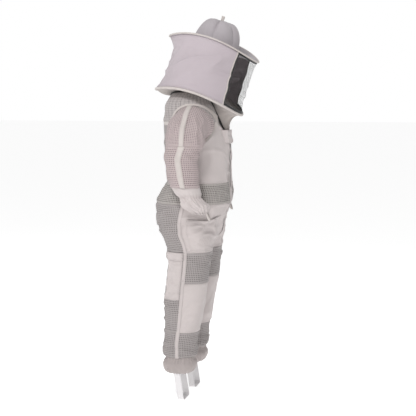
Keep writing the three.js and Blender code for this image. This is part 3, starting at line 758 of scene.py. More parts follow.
def black_net(name, pitch=0.0028):
    """The veil's window: dark knotted net that is mostly air."""
    net = Shader(name)
    u, v, _ = net.uv("weave")
    lean = net.math("MULTIPLY", v, 0.58)
    one = net.math("PINGPONG", net.math("ADD", u, lean), pitch / 2)
    two = net.math("PINGPONG", net.math("SUBTRACT", u, lean), pitch / 2)
    thin = pitch * 0.05
    line = net.math("MAXIMUM", net.math("SUBTRACT", 1.0, net.step(one, thin, thin * 1.5)),
                    net.math("SUBTRACT", 1.0, net.step(two, thin, thin * 1.5)))
    edge = net.math("SUBTRACT", 1.0, net.step(net.uv("stitch")[1], 0.006, 0.007))
    net.set(Base_Color=(0.035, 0.036, 0.034, 1), Roughness=0.7, Alpha=net.math("MAXIMUM", line, edge))
    return net.material


def webbing(name, colour, pitch=0.0022):
    """Ribbed elastic."""
    web = Shader(name)
    u, v, _ = web.uv("weave")
    rib = web.math("SINE", web.math("MULTIPLY", u, 2 * math.pi / pitch))
    cross = web.math("SINE", web.math("MULTIPLY", v, 2 * math.pi / (pitch * 0.6)))
    weave = web.math("MULTIPLY_ADD", web.math("ADD", rib, web.math("MULTIPLY", cross, 0.5)), 0.33, 0.5)
    soil = web.cloud(web.place(), 30.0, 4.0)
    tone = web.mix(weave, tuple(c * 0.72 for c in colour), colour)
    tone = web.mix(web.math("MULTIPLY", soil, 0.2), tone, tuple(c * 0.6 for c in colour))
    web.bumps(weave, 0.0005, 0.8)
    web.set(Base_Color=tone, Roughness=0.8, Sheen_Weight=0.2, Sheen_Roughness=0.5)
    return web.material


def moulded(name, colour, roughness, metallic=0.0):
    """Zip parts: satin, with light wear in patches."""
    hard = Shader(name)
    place = hard.place()
    wear = hard.step(hard.cloud(place, 350.0, 5.0, 0.7), 0.56, 0.72)
    tone = hard.mix(hard.math("MULTIPLY", wear, 0.35), colour, tuple(min(1, c * 3 + 0.03) for c in colour))
    rough = hard.math("MULTIPLY_ADD", hard.cloud(place, 500.0), 0.2, roughness - 0.1)
    hard.bumps(hard.cloud(place, 800.0), 0.0001, 0.4)
    hard.set(Base_Color=tone, Roughness=rough, Metallic=metallic)
    return hard.material


def ground(name, colour):
    floor = Shader(name)
    grain = floor.cloud(floor.place(), 3.0, 4.0)
    tone = floor.mix(floor.math("MULTIPLY", grain, 0.04), colour, tuple(c * 0.94 for c in colour))
    floor.set(Base_Color=tone, Roughness=0.95, Emission_Color=(1, 1, 1, 1), Emission_Strength=0.57)
    floor.surface.inputs["Specular IOR Level"].default_value = 0.1
    return floor.material


MAKERS = {
    "cotton twill": lambda p: woven("cotton twill", tuple(p.cotton), tuple(c * 0.93 for c in p.cotton)),
    "hat cotton": lambda p: woven("hat cotton", (0.465, 0.43, 0.45), (0.435, 0.40, 0.42)),
    # The leg cuffs' cotton is the suit's cotton painted darker, as shade near the floor.
    "hem cotton with painted shade": lambda p: woven("hem cotton with painted shade", (0.46, 0.41, 0.40), (0.42, 0.37, 0.36)),
    "veil cotton": lambda p: woven("veil cotton", tuple(p.veil), tuple(c * 0.95 for c in p.veil), 0.0008),
    # The neck skirt's cotton is beige, with a little painted shade for its place under the hoop.
    "beige skirt cotton with painted shade": lambda p: woven("beige skirt cotton with painted shade", (0.50, 0.455, 0.43), (0.45, 0.405, 0.38), 0.0008),
    "bias tape": lambda p: woven("bias tape", (0.62, 0.57, 0.545), (0.57, 0.52, 0.495), 0.0009, False),
    # Each net's second colour is the painted shade seen through its holes.
    "sleeve net": lambda p: open_net("sleeve net", (0.53, 0.445, 0.445), (0.11, 0.085, 0.08)),
    "body net": lambda p: open_net("body net", tuple(p.net), (0.085, 0.079, 0.075)),
    "waist net": lambda p: open_net("waist net", (0.48, 0.445, 0.425), (0.035, 0.032, 0.03), hole_size=0.34),
    "yoke net": lambda p: open_net("yoke net", tuple(c * 1.25 for c in p.net), (0.12, 0.112, 0.108), 0.0062, 0.27,
                                   0.0186),
    "veil net": lambda p: black_net("veil net"),
    "elastic": lambda p: webbing("elastic", (0.62, 0.60, 0.64)),
    "zip tape": lambda p: webbing("zip tape", (0.030, 0.028, 0.027), 0.0014),
    "zip teeth": lambda p: moulded("zip teeth", (0.022, 0.021, 0.020), 0.42),
    "zip metal": lambda p: moulded("zip metal", (0.23, 0.225, 0.22), 0.34, 0.85),
    "black tape": lambda p: webbing("black tape", (0.022, 0.022, 0.023), 0.0016),
}


def finish(name):
    """The material of this name, made when it is first asked for."""
    found = bpy.data.materials.get(name)
    return found or MAKERS[name](bpy.context.scene.suit_colours)


# ---- Riding ----


def ride(piece, body, slot, *nodes):
    if nodes:
        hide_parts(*nodes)
    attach(piece, body)
    return piece


def bend(piece, slot, first, second, start, end, *nodes):
    """A piece that spans two bodies, baked where it is made, with the nodes it replaces hidden."""
    if nodes:
        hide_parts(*nodes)
    tuple(metres(Vector(start)))
    tuple(metres(Vector(end)))
    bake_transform(piece)
    return piece


def bend_hip(piece, slot, name, side, *nodes):
    start, end = (side * 95, 0, 848), (side * 95, 0, 665)
    return bend(piece, slot, "suit", f"thigh_{name}", start, end, *nodes)


def bend_knee(piece, slot, name, side, *nodes):
    start, end = (side * 98, 5, KNEE_STRIP_Z), (side * 101, 5, 325)
    return bend(piece, slot, f"thigh_{name}", f"shin_{name}", start, end, *nodes)


def bend_elbow(piece, slot, name, side, *nodes):
    start, end = (side * 243, -12, 1105), (side * 243, -12, 975)
    return bend(piece, slot, f"upper_arm_{name}", f"forearm_{name}", start, end, *nodes)


# ---- Settings ----


class SuitColours(PropertyGroup):
    cotton: FloatVectorProperty(
        name="Cotton", description="Colour of the solid panels", default=(0.62, 0.56, 0.55), subtype="COLOR",
        min=0, max=1)
    net: FloatVectorProperty(
        name="Net", description="Colour of the net's threads", default=(0.41, 0.375, 0.37), subtype="COLOR",
        min=0, max=1)
    veil: FloatVectorProperty(
        name="Veil", description="Colour of the veil's cloth", default=(0.50, 0.44, 0.47), subtype="COLOR",
        min=0, max=1)


class SuitSizes(PropertyGroup):
    detail: FloatProperty(
        name="Cloth detail", description="Distance between the cloth's mesh lines, in millimetres", default=5.0,
        min=3.0, max=20.0)
    gores: IntProperty(
        name="Crown gores", description="How many padded gores the hat's crown has", default=6, min=4, max=12)
    gore_puff: FloatProperty(
        name="Gore puff", description="How far a gore swells past its seams, in millimetres", default=14.0, min=0,
        max=20)
    brim_rows: IntProperty(
        name="Brim rows", description="Rows of stitching round the brim", default=8, min=2, max=14)


class StageSettings(PropertyGroup):
    distance: FloatProperty(
        name="Camera distance", description="From the suit to the camera", default=4.5, unit="LENGTH")
    azimuth: FloatProperty(
        name="Camera azimuth", description="Camera's direction from the front", default=math.radians(-77),
        subtype="ANGLE")
    height: FloatProperty(
        name="Camera height", description="Above the ground", default=1.3, unit="LENGTH")
    lens: FloatProperty(name="Lens", description="Focal length, in millimetres", default=88.9, min=10)
    brightness: FloatProperty(name="Light", description="Strength of the studio light", default=1.0, min=0)


# ---- Operators ----


class SUIT_OT_stage(Operator):
    """Make the camera, the floor and the studio light"""

    bl_idname = "suit.stage"
    bl_label = "Stage"

    def execute(self, context):
        settings = context.scene.suit_stage
        aim = metres(Vector((0, -66, 831)))
        turn = settings.azimuth
        away = Vector((math.sin(turn), -math.cos(turn), 0)) * settings.distance
        place = Vector((aim.x + away.x, aim.y + away.y, settings.height - COLLAR_Z / 1000))
        camera = bpy.data.objects.new("camera", bpy.data.cameras.new("camera"))
        camera.data.lens = settings.lens
        camera.data.sensor_width = 36
        camera.location = place
        camera.rotation_euler = (aim - place).to_track_quat("-Z", "Y").to_euler()
        context.scene.collection.objects.link(camera)
        context.scene.camera = camera

        mesh = bmesh.new()
        bmesh.ops.create_grid(mesh, x_segments=4, y_segments=4, size=60)
        for vertex in mesh.verts:
            vertex.co.z = -COLLAR_Z / 1000 - 0.0005
        floor = finished("floor", mesh, ground("pale floor", (0.93, 0.93, 0.93)))

        world = bpy.data.worlds.new("studio")
        world.use_nodes = True
        tree = world.node_tree
        tree.nodes["Background"].inputs[0].default_value = (1, 1, 1, 1)
        seen = tree.nodes.new("ShaderNodeLightPath")
        strength = tree.nodes.new("ShaderNodeMapRange")
        strength.inputs[3].default_value = 0.42 * settings.brightness
        strength.inputs[4].default_value = 1.0
        tree.links.new(seen.outputs["Is Camera Ray"], strength.inputs[0])
        tree.links.new(strength.outputs[0], tree.nodes["Background"].inputs[1])
        context.scene.world = world
        context.scene.view_settings.view_transform = "Standard"
        self.lamp(context, "key", (-2.9, 0.2, 2.3), 1.1, 72 * settings.brightness)
        self.lamp(context, "fill", (-2.0, 2.8, 1.2), 2.0, 12 * settings.brightness)
        self.lamp(context, "rim", (3.0, -0.6, 1.6), 1.6, 20 * settings.brightness)
        return {"FINISHED"}

    def lamp(self, context, name, place, size, power):
        light = bpy.data.lights.new(name, "AREA")
        light.shape = "DISK"
        light.size = size
        light.energy = power
        lamp = bpy.data.objects.new(name, light)
        lamp.location = place
        aim = Vector((0, 0, -0.4))
        lamp.rotation_euler = (aim - Vector(place)).to_track_quat("-Z", "Y").to_euler()
        context.scene.collection.objects.link(lamp)


class SUIT_OT_torso(Operator):
    """Sew the yokes, the chest, the back and the waist band"""

    bl_idname = "suit.torso"
    bl_label = "Torso"

    def execute(self, context):
        yoke_start = -90.0
        while neck_edge(yoke_start) < YOKE_SEAM_Z + 12:
            yoke_start += 0.25

        def chest_top(angle):
            return min(YOKE_SEAM_Z, neck_edge(angle))

        def waist(s, t):
            z = lerp(WAIST_SEAM_Z, CHEST_SEAM_Z, t)
            return torso(lerp(zip_edge_angle(z), 180 - zip_edge_angle(z), s), z)

        for name, side in SIDES:
            yoke = mirrored(torso_panel(yoke_start, 0, YOKE_SEAM_Z, neck_edge), side)
            piece = panel(f"yoke_net_{name}", yoke, "yoke net", keep=outside_armholes)
            ride(piece, "suit", "spacer_net", f"yoke_front_{name}")
            chest = mirrored(torso_panel(zip_edge_angle, 0, CHEST_SEAM_Z, chest_top), side)
            piece = panel(f"chest_{name}", chest, "cotton twill", keep=outside_armholes)
            ride(piece, "suit", "cotton", f"chest_panel_{name}")
        yoke = torso_panel(0, 180, YOKE_SEAM_Z, neck_edge)
        piece = panel("yoke_behind", yoke, "yoke net", keep=outside_armholes)
        ride(piece, "suit", "spacer_net", "yoke_back")
        back = torso_panel(0, 180, CHEST_SEAM_Z, YOKE_SEAM_Z)
        piece = panel("back_net", back, "body net", keep=outside_armholes)
        ride(piece, "suit", "spacer_net", "back_panel")
        ride(panel("waist_net", waist, "waist net", held="gathered"), "suit", "spacer_net", "waist_band")
        seam = lambda s, t: torso(180 * s, YOKE_SEAM_Z + lerp(-7, 7, t))
        piece = band("yoke_seam", seam, "bias tape", 5, lift=1.0, thickness=0.8, folds=body_folds, settle=0.5,
                     keep=outside_armholes)
        ride(piece, "suit", "spacer_net")
        for name, side in SIDES:
            self.armhole_tape(name, side)
        return {"FINISHED"}

    def armhole_tape(self, name, side):
        def tape(s, t):
            turn = 2 * math.pi * s
            reach = ARMHOLE_R + 1 + 9 * t
            y, z = ARMHOLE_Y + reach * math.cos(turn), ARMHOLE_Z + reach * math.sin(turn)
            half_width, front, back = torso_size(z)
            depth = min(0.999, abs(y - (front + back) / 2) / ((back - front) / 2))
            return Vector((half_width * (1 - depth**SECTION_POWER) ** (1 / SECTION_POWER), y, z))

        piece = band(f"armhole_tape_{name}", mirrored(tape, side), "bias tape", 5, lift=1.8, thickness=1.0,
                     folds=body_folds, closed=True, settle=1.0, flip=True)
        ride(piece, "suit", "spacer_net")


class SUIT_OT_hips(Operator):
    """Sew the hips, the seat, the gusset, the hip pockets and the side strips"""

    bl_idname = "suit.hips"
    bl_label = "Hips"

    def execute(self, context):
        for name, side in SIDES:
            front = mirrored(hip_panel(0, 0.5, THIGH_SEAM_Z, WAIST_SEAM_Z), side)
            bend_hip(panel(f"hip_cotton_{name}", front, "cotton twill"), "cotton", name, side, f"hip_front_{name}")
            seat = mirrored(hip_panel(0.5, 1, THIGH_SEAM_Z, WAIST_SEAM_Z), side)
            bend_hip(panel(f"seat_net_{name}", seat, "body net"), "spacer_net", name, side, f"seat_{name}")
            gusset = mirrored(lambda s, t: inner_thigh(s, lerp(THIGH_SEAM_Z, CROTCH_Z, t)), side)
            piece = panel(f"gusset_{name}", gusset, "body net", folds=None)
            bend_hip(piece, "spacer_net", name, side, f"inner_thigh_{name}")
            self.pocket(name, side)
            for part, low, high in (
                ("hip", THIGH_SEAM_Z, WAIST_SEAM_Z),
                ("thigh", KNEE_STRIP_Z, THIGH_SEAM_Z),
                ("knee", CUFF_TOP_Z, KNEE_STRIP_Z),
            ):
                strip = mirrored(self.side_strip(low, high), side)
                piece = panel(f"side_strip_{part}_{name}", strip, "cotton twill", lift=1.6, seam=False, settle=0.6,
                              held="stretched")
                if part == "thigh":
                    ride(piece, f"thigh_{name}", "cotton", f"side_strip_{name}")
                else:
                    bend_over = bend_hip if part == "hip" else bend_knee
                    bend_over(piece, "cotton", name, side, f"side_strip_{name}")
        return {"FINISHED"}

    def side_strip(self, low, high, half_width=8):
        def surface(s, t):
            z = lerp(low, high, t)
            middle = leg(0, z) if z < THIGH_SEAM_Z else hip(0.5, z)
            return middle + Vector((0, lerp(-half_width, half_width, s), 0))

        return surface

    def pocket(self, name, side):
        """A patch pocket whose mouth dips in the middle and stands away from the hip."""

        def surface(s, t):
            mouth = HIP_POCKET[1] - 6 * math.sin(math.pi * s) + 12 * (1 - s) ** 2
            return hip(lerp(0.13, 0.45, s), lerp(HIP_POCKET[0], mouth, t))

        def lift(s, t):
            sewn = min(smoothstep(s, 0, 0.05), smoothstep(1 - s, 0, 0.05), smoothstep(t, 0, 0.04))
            return 0.8 + 1.6 * sewn + 5 * math.sin(math.pi * s) * t**4 * sewn

        piece = patch(f"hip_pocket_cotton_{name}", surface, lift, side)
        bend_hip(piece, "cotton", name, side, f"hip_pocket_{name}")


class SUIT_OT_legs(Operator):
    """Sew the thighs, knees, shins, leg cuffs, thigh pockets, ankle zips and stirrups"""

    bl_idname = "suit.legs"
    bl_label = "Legs"

    def execute(self, context):
        for name, side in SIDES:
            self.net_halves("thigh", name, side, KNEE_TOP_Z, THIGH_SEAM_Z)
            front = mirrored(leg_panel(-180, 0, KNEE_BOTTOM_Z, KNEE_TOP_Z), side)
            piece = panel(f"knee_cotton_{name}", front, "cotton twill")
            bend_knee(piece, "cotton", name, side, f"knee_patch_{name}")
            behind = mirrored(leg_panel(0, 180, KNEE_BOTTOM_Z, KNEE_TOP_Z), side)
            piece = panel(f"knee_behind_{name}", behind, "body net")
            bend_knee(piece, "spacer_net", name, side, f"knee_back_{name}")
            self.net_halves("shin", name, side, CUFF_TOP_Z, KNEE_BOTTOM_Z)
            self.cuff(name, side)
            self.thigh_pocket(name, side)
            self.ankle_zip(name, side)
            self.stirrup(name, side)
        return {"FINISHED"}

    def net_halves(self, part, name, side, low, high):
        for half, first, last in (("front", -180, 0), ("behind", 0, 180)):
            surface = mirrored(leg_panel(first, last, low, high), side)
            piece = panel(f"{part}_{half}_{name}", surface, "body net")
            ride(piece, f"{part}_{name}", "spacer_net", f"{part}_{name}")

    def cuff(self, name, side):
        def surface(s, t):
            angle, z = 360 * s, lerp(HEM_Z, CUFF_TOP_Z, t)
            point = leg(angle, z)
            centre_x, centre_y, _, _ = leg_size(z)
            out = Vector((point.x - centre_x, point.y - centre_y, 0)).normalized()
            pleat = gathers(angle, z, 182, 26, 2.0) + gathers(angle, z, 122, 20, 2.4)
            tuck = 3.2 * bump(z, 150, 16) * ripple(point, 30, (1, 1, 1), 5.5)
            return point + out * (pleat + tuck)

        # The cuff's darker cotton is painted shade near the floor.
        piece = sheet(f"leg_cuff_cotton_{name}", mirrored(surface, side), finish("hem cotton with painted shade"), 3.2,
                      closed=True, thickness=1.6, held="gathered")
        ride(piece, f"shin_{name}", "cotton", f"leg_cuff_{name}")

    def thigh_pocket(self, name, side):
        def surface(s, t):
            return leg(lerp(7, 64, s), lerp(*THIGH_POCKET, t))

        def lift(s, t):
            sewn = min(smoothstep(s, 0, 0.06), smoothstep(1 - s, 0, 0.06), smoothstep(t, 0, 0.04))
            return 0.8 + 1.6 * sewn + 2.2 * sewn * math.sin(math.pi * s) * math.sin(math.pi * min(1, t * 1.2))

        piece = patch(f"thigh_pocket_cotton_{name}", surface, lift, side)
        bend_knee(piece, "cotton", name, side, f"thigh_pocket_{name}")

        def flap(s, t):
            low = THIGH_FLAP[0] - 5 * math.sin(math.pi * s)
            return leg(lerp(5.5, 65.5, s), lerp(low, THIGH_FLAP[1], t))

        piece = patch(f"pocket_flap_{name}", flap, lambda s, t: 5.6 - 0.8 * t, side)
        ride(piece, f"thigh_pocket_flap_{name}", "cotton", f"thigh_pocket_flap_{name}")

    def ankle_zip(self, name, side):
        def tape(s, t):
            z = lerp(*ANKLE_TAPE, t)
            return leg(100, z) + Vector((lerp(5.5, -5.5, s), 0, 0))

        piece = band(f"ankle_tape_{name}", mirrored(tape, side), "zip tape", lift=3.6, thickness=0.9)
        ride(piece, f"shin_{name}", "zip_tape", f"ankle_zip_{name}")

    def stirrup(self, name, side):
        centre_x, centre_y, half_width, _ = leg_size(HEM_Z)
        half = half_width - 1
        corner = 12

        def path(share):
            """Down the outer side, round under the boot and up the inner side."""
            drop, turn, flat = HEM_Z + 8 - corner, math.pi / 2 * corner, 2 * half - 2 * corner
            place = share * (2 * drop + 2 * turn + flat)
            if place < drop:
                return half, HEM_Z + 8 - place
            place -= drop
            if place < turn:
                angle = place / corner
                return half - corner + corner * math.cos(angle), corner - corner * math.sin(angle)
            place -= turn
            if place < flat:
                return half - corner - place, 0
            place -= flat
            if place < turn:
                angle = place / corner
                return -half + corner - corner * math.sin(angle), corner - corner * math.cos(angle)
            return -half, corner + place - turn

        def surface(s, t):
            x, z = path(t)
            y = centre_y - 18 + lerp(14, -14, s) + z / HEM_Z * 18
            return Vector((centre_x + x, y, z + 0.2))

        piece = band(f"stirrup_strap_{name}", mirrored(surface, side), "elastic", thickness=1.8)
        ride(piece, f"shin_{name}", "elastic", f"stirrup_{name}")


class SUIT_OT_sleeves(Operator):
    """Sew the sleeves, their strips and their gathered cuffs"""

    bl_idname = "suit.sleeves"
    bl_label = "Sleeves"

    def execute(self, context):
        bend_tube = self.tube(ELBOW_TOP_Z, SLEEVE_CUFF_TOP_Z)
        head_strip = lambda s, t: self.head(lerp(0.475, 0.515, s), lerp(0.24, 1, t))
        bend_strip = lambda s, t: bend_tube(lerp(0.47, 0.525, s), t)
        strip = {"lift": 1.6, "folds": sleeve_folds, "seam": False, "settle": 1.0, "held": "stretched"}
        for name, side in SIDES:
            piece = panel(f"sleeve_head_{name}", mirrored(self.head, side), "sleeve net", closed=True,
                          folds=sleeve_folds)
            ride(piece, f"upper_arm_{name}", "spacer_net", f"sleeve_upper_{name}")
            piece = panel(f"sleeve_bend_{name}", mirrored(bend_tube, side), "sleeve net", closed=True,
                          folds=sleeve_folds)
            bend_elbow(piece, "spacer_net", name, side, f"sleeve_elbow_{name}")
            self.cuff(name, side)
            piece = panel(f"sleeve_strip_head_{name}", mirrored(head_strip, side), "bias tape", **strip)
            ride(piece, f"upper_arm_{name}", "cotton")
            piece = panel(f"sleeve_strip_bend_{name}", mirrored(bend_strip, side), "bias tape", **strip)
            bend_elbow(piece, "cotton", name, side)
        return {"FINISHED"}

    @staticmethod
    def ring(turn, lean, x):
        top_y, top_half_width, top_half_depth = sleeve_size(ELBOW_TOP_Z)[1:]
        share = lean / 90
        half = lerp(ARMHOLE_R, top_half_width, share)
        depth = lerp(ARMHOLE_R, top_half_depth, share)
        leaning = math.radians(lean)
        slope = 1 - 0.07 * math.sin(2 * leaning) * max(0.0, math.sin(turn))
        reach = (ARMPIT_R + half + half * math.sin(turn)) * slope
        return Vector((
            x + math.sin(leaning) * reach,
            lerp(ARMHOLE_Y, top_y, share) + depth * math.cos(turn),
            ELBOW_TOP_Z + math.cos(leaning) * reach,
        ))

    @classmethod
    def head(cls, s, t):
        turn = 2 * math.pi * s - math.pi / 2
        inner = 0.28
        if t < inner:
            return cls.ring(turn, 0, lerp(97, ARMHOLE_X, t / inner))
        return cls.ring(turn, 90 * (t - inner) / (1 - inner), ARMHOLE_X)

    @staticmethod
    def tube(high, low):
        def surface(s, t):
            turn = 2 * math.pi * s - math.pi / 2
            z = lerp(high, low, t)
            centre_x, centre_y, half_width, half_depth = sleeve_size(z)
            return Vector((centre_x + half_width * math.sin(turn), centre_y + half_depth * math.cos(turn), z))

        return surface

    def cuff(self, name, side):
        """A plain band, a pinch, and a puffed, gathered end with a loop for the thumb."""

        def surface(s, t):
            turn = 2 * math.pi * s - math.pi / 2
            z = lerp(SLEEVE_CUFF_TOP_Z, SLEEVE_END_Z, t)
            centre_x, centre_y, half_width, half_depth = sleeve_size(z)
            angle = 360 * s
            out = 12 * bump(z, 866, 17) - 7 * bump(z, 900, 9) - 6 * bump(z, 836, 7)
            out += gathers(angle, z, 893, 19, 2.6) + gathers(angle, z, 842, 16, 3.2)
            place = Vector((math.sin(turn) * 40, math.cos(turn) * 46, z))
            out += 9 * bump(z, 866, 24) * (crease(place, 34, (1.2, 1.2, 0.7), 1.5) - 0.35)
            x = centre_x + (half_width + out) * math.sin(turn)
            y = centre_y + (half_depth + out) * math.cos(turn)
            return Vector((x, y, z))

        piece = sheet(f"sleeve_cuff_cotton_{name}", mirrored(surface, side), finish("cotton twill"), 3.2,
                      closed=True, thickness=1.6, held="gathered")
        ride(piece, f"forearm_{name}", "cotton", f"sleeve_cuff_{name}")

        def loop(s, t):
            turn = math.pi * t
            y = -114 - 12 * math.sin(turn) + lerp(-4, 4, s)
            return Vector((230 + 15 * math.cos(turn), y, 838 - 34 * math.sin(turn)))

        piece = band(f"thumb_loop_{name}", mirrored(loop, side), "bias tape", 2.5, thickness=1.2)
        ride(piece, f"forearm_{name}", "elastic")


class SUIT_OT_zips(Operator):
    """Make the neck zip, the front zip, the sliders and the throat flap"""

    bl_idname = "suit.zips"
    bl_label = "Zips"

    def execute(self, context):
        for part, low, high, body, node in (
            ("neck_tape_suit", -9, -0.4, "suit", "neck_zip_lower"),
            ("neck_tape_hood", 0.4, 9, "hood", "neck_zip_upper"),
        ):
            def surface(s, t):
                _, across, _ = neck_axes(s)
                return neck_line(s) + across * lerp(low, high, t)

            piece = band(part, surface, "zip tape", 4, lift=1.2, thickness=1.2)
            ride(piece, body, "zip_tape", node)
            piece = self.neck_teeth(part.replace("tape", "teeth"), -1 if body == "suit" else 1)
            ride(piece, body, "zip_tape", node)
        self.front_zip()
        self.sliders()
        self.flap()
        return {"FINISHED"}

    def tooth(self, mesh, place, along, across, out, size):
        basis = Matrix((along * size[0], across * size[1], out * size[2])).transposed().to_4x4()
        basis.translation = place
        made = bmesh.ops.create_cube(mesh, size=1)["verts"]
        bmesh.ops.transform(mesh, matrix=basis, verts=made)

    def neck_teeth(self, name, side):
        mesh = bmesh.new()
        length = length_of(neck_line, 60)
        count = int(length / NECK_TOOTH_PITCH)
        for i in range(count):
            share = (i + (0.25 if side < 0 else 0.75)) / count
            along, across, out = neck_axes(clamp(share, 0.004, 0.996))
            place = neck_line(share) + across * side * 0.9 + out * 2.1
            self.tooth(mesh, metres(place), along, across, out, (0.0015, 0.0030, 0.0018))
        return finished(name, mesh, finish("zip teeth"))

    def front_zip(self):
        def line(half_width):
            def surface(s, t):
                z = lerp(ZIP_BOTTOM_Z, THROAT_Z - NECK_EDGE_MARGIN, t)
                return Vector((lerp(-half_width, half_width, s), torso_size(z)[1], z))

            return surface

        piece = band("front_tape", line(ZIP_HALF_WIDTH), "zip tape", 4, lift=-0.6, thickness=1.2,
                     folds=body_folds, settle=0.45)
        ride(piece, "suit", "zip_tape", "front_zip")
        mesh = bmesh.new()
        low, high = ZIP_BOTTOM_Z + 6, THROAT_Z - NECK_EDGE_MARGIN
        count = int((high - low) / FRONT_TOOTH_PITCH)
        for i in range(count):
            z = lerp(low, high, i / count)
            point = Vector((0, torso_size(z)[1], z))
            point.y -= 0.45 * body_folds(point) + 0.1
            side = 1.4 if i % 2 else -1.4
            place = metres(point + Vector((side, 0, 0)))
            self.tooth(mesh, place, Vector((1, 0, 0)), Vector((0, 1, 0)), Vector((0, 0, 1)),
                       (0.0042, 0.0022, 0.0015))
        piece = finished("front_teeth", mesh, finish("zip teeth"))
        ride(piece, "suit", "zip_tape", "front_zip")
        for name, side in SIDES:
            edge = mirrored(
                lambda s, t: Vector((
                    lerp(7, ZIP_HALF_WIDTH + 5, s),
                    torso_size(lerp(ZIP_BOTTOM_Z, THROAT_Z - 14, t))[1] + 0.3 * s,
                    lerp(ZIP_BOTTOM_Z, THROAT_Z - 14, t),
                )), side)
            piece = band(f"front_facing_{name}", edge, "cotton twill", 4, lift=1.6, thickness=1.2,
                         folds=body_folds, settle=0.55)
            ride(piece, "suit", "cotton")

    def slider(self, name, node, body, place, along, out, scale=1.0, tongue=True):
        """A slider's body, its bridge and, unless it has its own node, its tongue with a hole."""
        across = out.cross(along).normalized()
        mesh = bmesh.new()

        def block(size, at, waist=1.0):
            made = bmesh.ops.create_cube(mesh, size=1)["verts"]
            for vertex in made:
                taper = waist if vertex.co.y < 0 else 1.0
                vertex.co = Vector((vertex.co.x * size[0] * taper, vertex.co.y * size[1], vertex.co.z * size[2]))
                vertex.co += Vector(at)
            return made

        block((8, 12, 1.4), (0, 6, 0.7), 0.66)
        block((8, 12, 1.4), (0, 6, 3.3), 0.66)
        block((2.2, 3.0, 2.0), (0, 9.6, 2.0))
        block((2.4, 8, 1.2), (0, 6, 5.0))
        block((2.4, 1.4, 1.4), (0, 2.8, 4.2))
        block((2.4, 1.4, 1.4), (0, 9.4, 4.2))
        if tongue:
            self.tongue(mesh, 22, (0, 9.2, 5.9))
        bmesh.ops.bevel(mesh, geom=mesh.edges[:], offset=0.35, affect="EDGES", segments=2, profile=0.5,
                        material=-1)
        basis = Matrix((across, along, out)).transposed().to_4x4() @ Matrix.Scale(0.001 * scale, 4)
        basis.translation = metres(place)
        bmesh.ops.transform(mesh, matrix=basis, verts=mesh.verts)
        bmesh.ops.recalc_face_normals(mesh, faces=mesh.faces)
        piece = finished(name, mesh, finish("zip metal"))
        ride(piece, body, "zip_slider", node)

    def tongue(self, mesh, length, top):
        """A flat pull with a rounded end and a slot."""
        outline = []
        for i in range(12):
            turn = math.pi * i / 11
            outline.append((3.4 * math.cos(turn), -length + 3.4 - 3.4 * math.sin(turn)))
        outline = [(2.4, 0)] + outline + [(-2.4, 0)]
        verts = [mesh.verts.new((x + top[0], y + top[1], top[2])) for x, y in outline]
        face = mesh.faces.new(verts)
        inner = bmesh.ops.inset_individual(mesh, faces=[face], thickness=1.5)["faces"]
        bmesh.ops.delete(mesh, geom=[face], context="FACES_ONLY")
        bmesh.ops.solidify(mesh, geom=inner, thickness=1.3)

    def sliders(self):
        for name, side in SIDES:
            share = NECK_SLIDER_SHARE if side > 0 else 1 - NECK_SLIDER_SHARE
            along, _, out = neck_axes(share)
            place = neck_line(share) + out * 1.2
            self.slider(f"neck_zip_slider_{name}", f"neck_slider_{name}", f"neck_slider_{name}", place,
                        along * side, out)
            foot = leg(100, ANKLE_SLIDER_Z)
            foot.x *= side
            foot.y += 5.2
            self.slider(f"ankle_zip_slider_{name}", f"ankle_slider_{name}", f"ankle_slider_{name}", foot,
                        Vector((0, 0, 1)), Vector((0, 1, 0)))
        foot = Vector((0, torso_size(FRONT_SLIDER_Z)[1], FRONT_SLIDER_Z))
        self.slider("front_zip_slider", "front_slider", "front_slider", foot, Vector((0, 0, 1)),
                    Vector((0, -1, 0)), 1.25, tongue=False)
        mesh = bmesh.new()
        self.tongue(mesh, 26, (0, 9.6, 6.1))
        bmesh.ops.bevel(mesh, geom=mesh.edges[:], offset=0.2, affect="EDGES", segments=2, profile=0.5,
                        material=-1)
        basis = Matrix(((1, 0, 0), (0, 0, 1), (0, -1, 0))).transposed().to_4x4() @ Matrix.Scale(0.00125, 4)
        basis.translation = metres(foot)
        bmesh.ops.transform(mesh, matrix=basis, verts=mesh.verts)
        bmesh.ops.recalc_face_normals(mesh, faces=mesh.faces)
        piece = finished("front_zip_pull", mesh, finish("zip metal"))
        ride(piece, "front_slider_pull", "zip_slider", "front_slider_pull")

    def flap(self):
        def surface(s, t):
            z = lerp(THROAT_FLAP[0] - 6 * math.sin(math.pi * s), THROAT_FLAP[1], t)
            x = lerp(-60, 34, s)
            chest_y = torso_size(min(z, THROAT_Z))[1]
            edge = torso(angle_at_x(60, z), z).y
            return Vector((x, lerp(edge - 1.2, chest_y - 13, smoothstep(s, 0, 0.16)), z))

        piece = sheet("throat_flap_cotton", surface, finish("cotton twill"), 3.6, thickness=1.8, held="hung")
        ride(piece, "throat_flap", "cotton", "throat_flap")


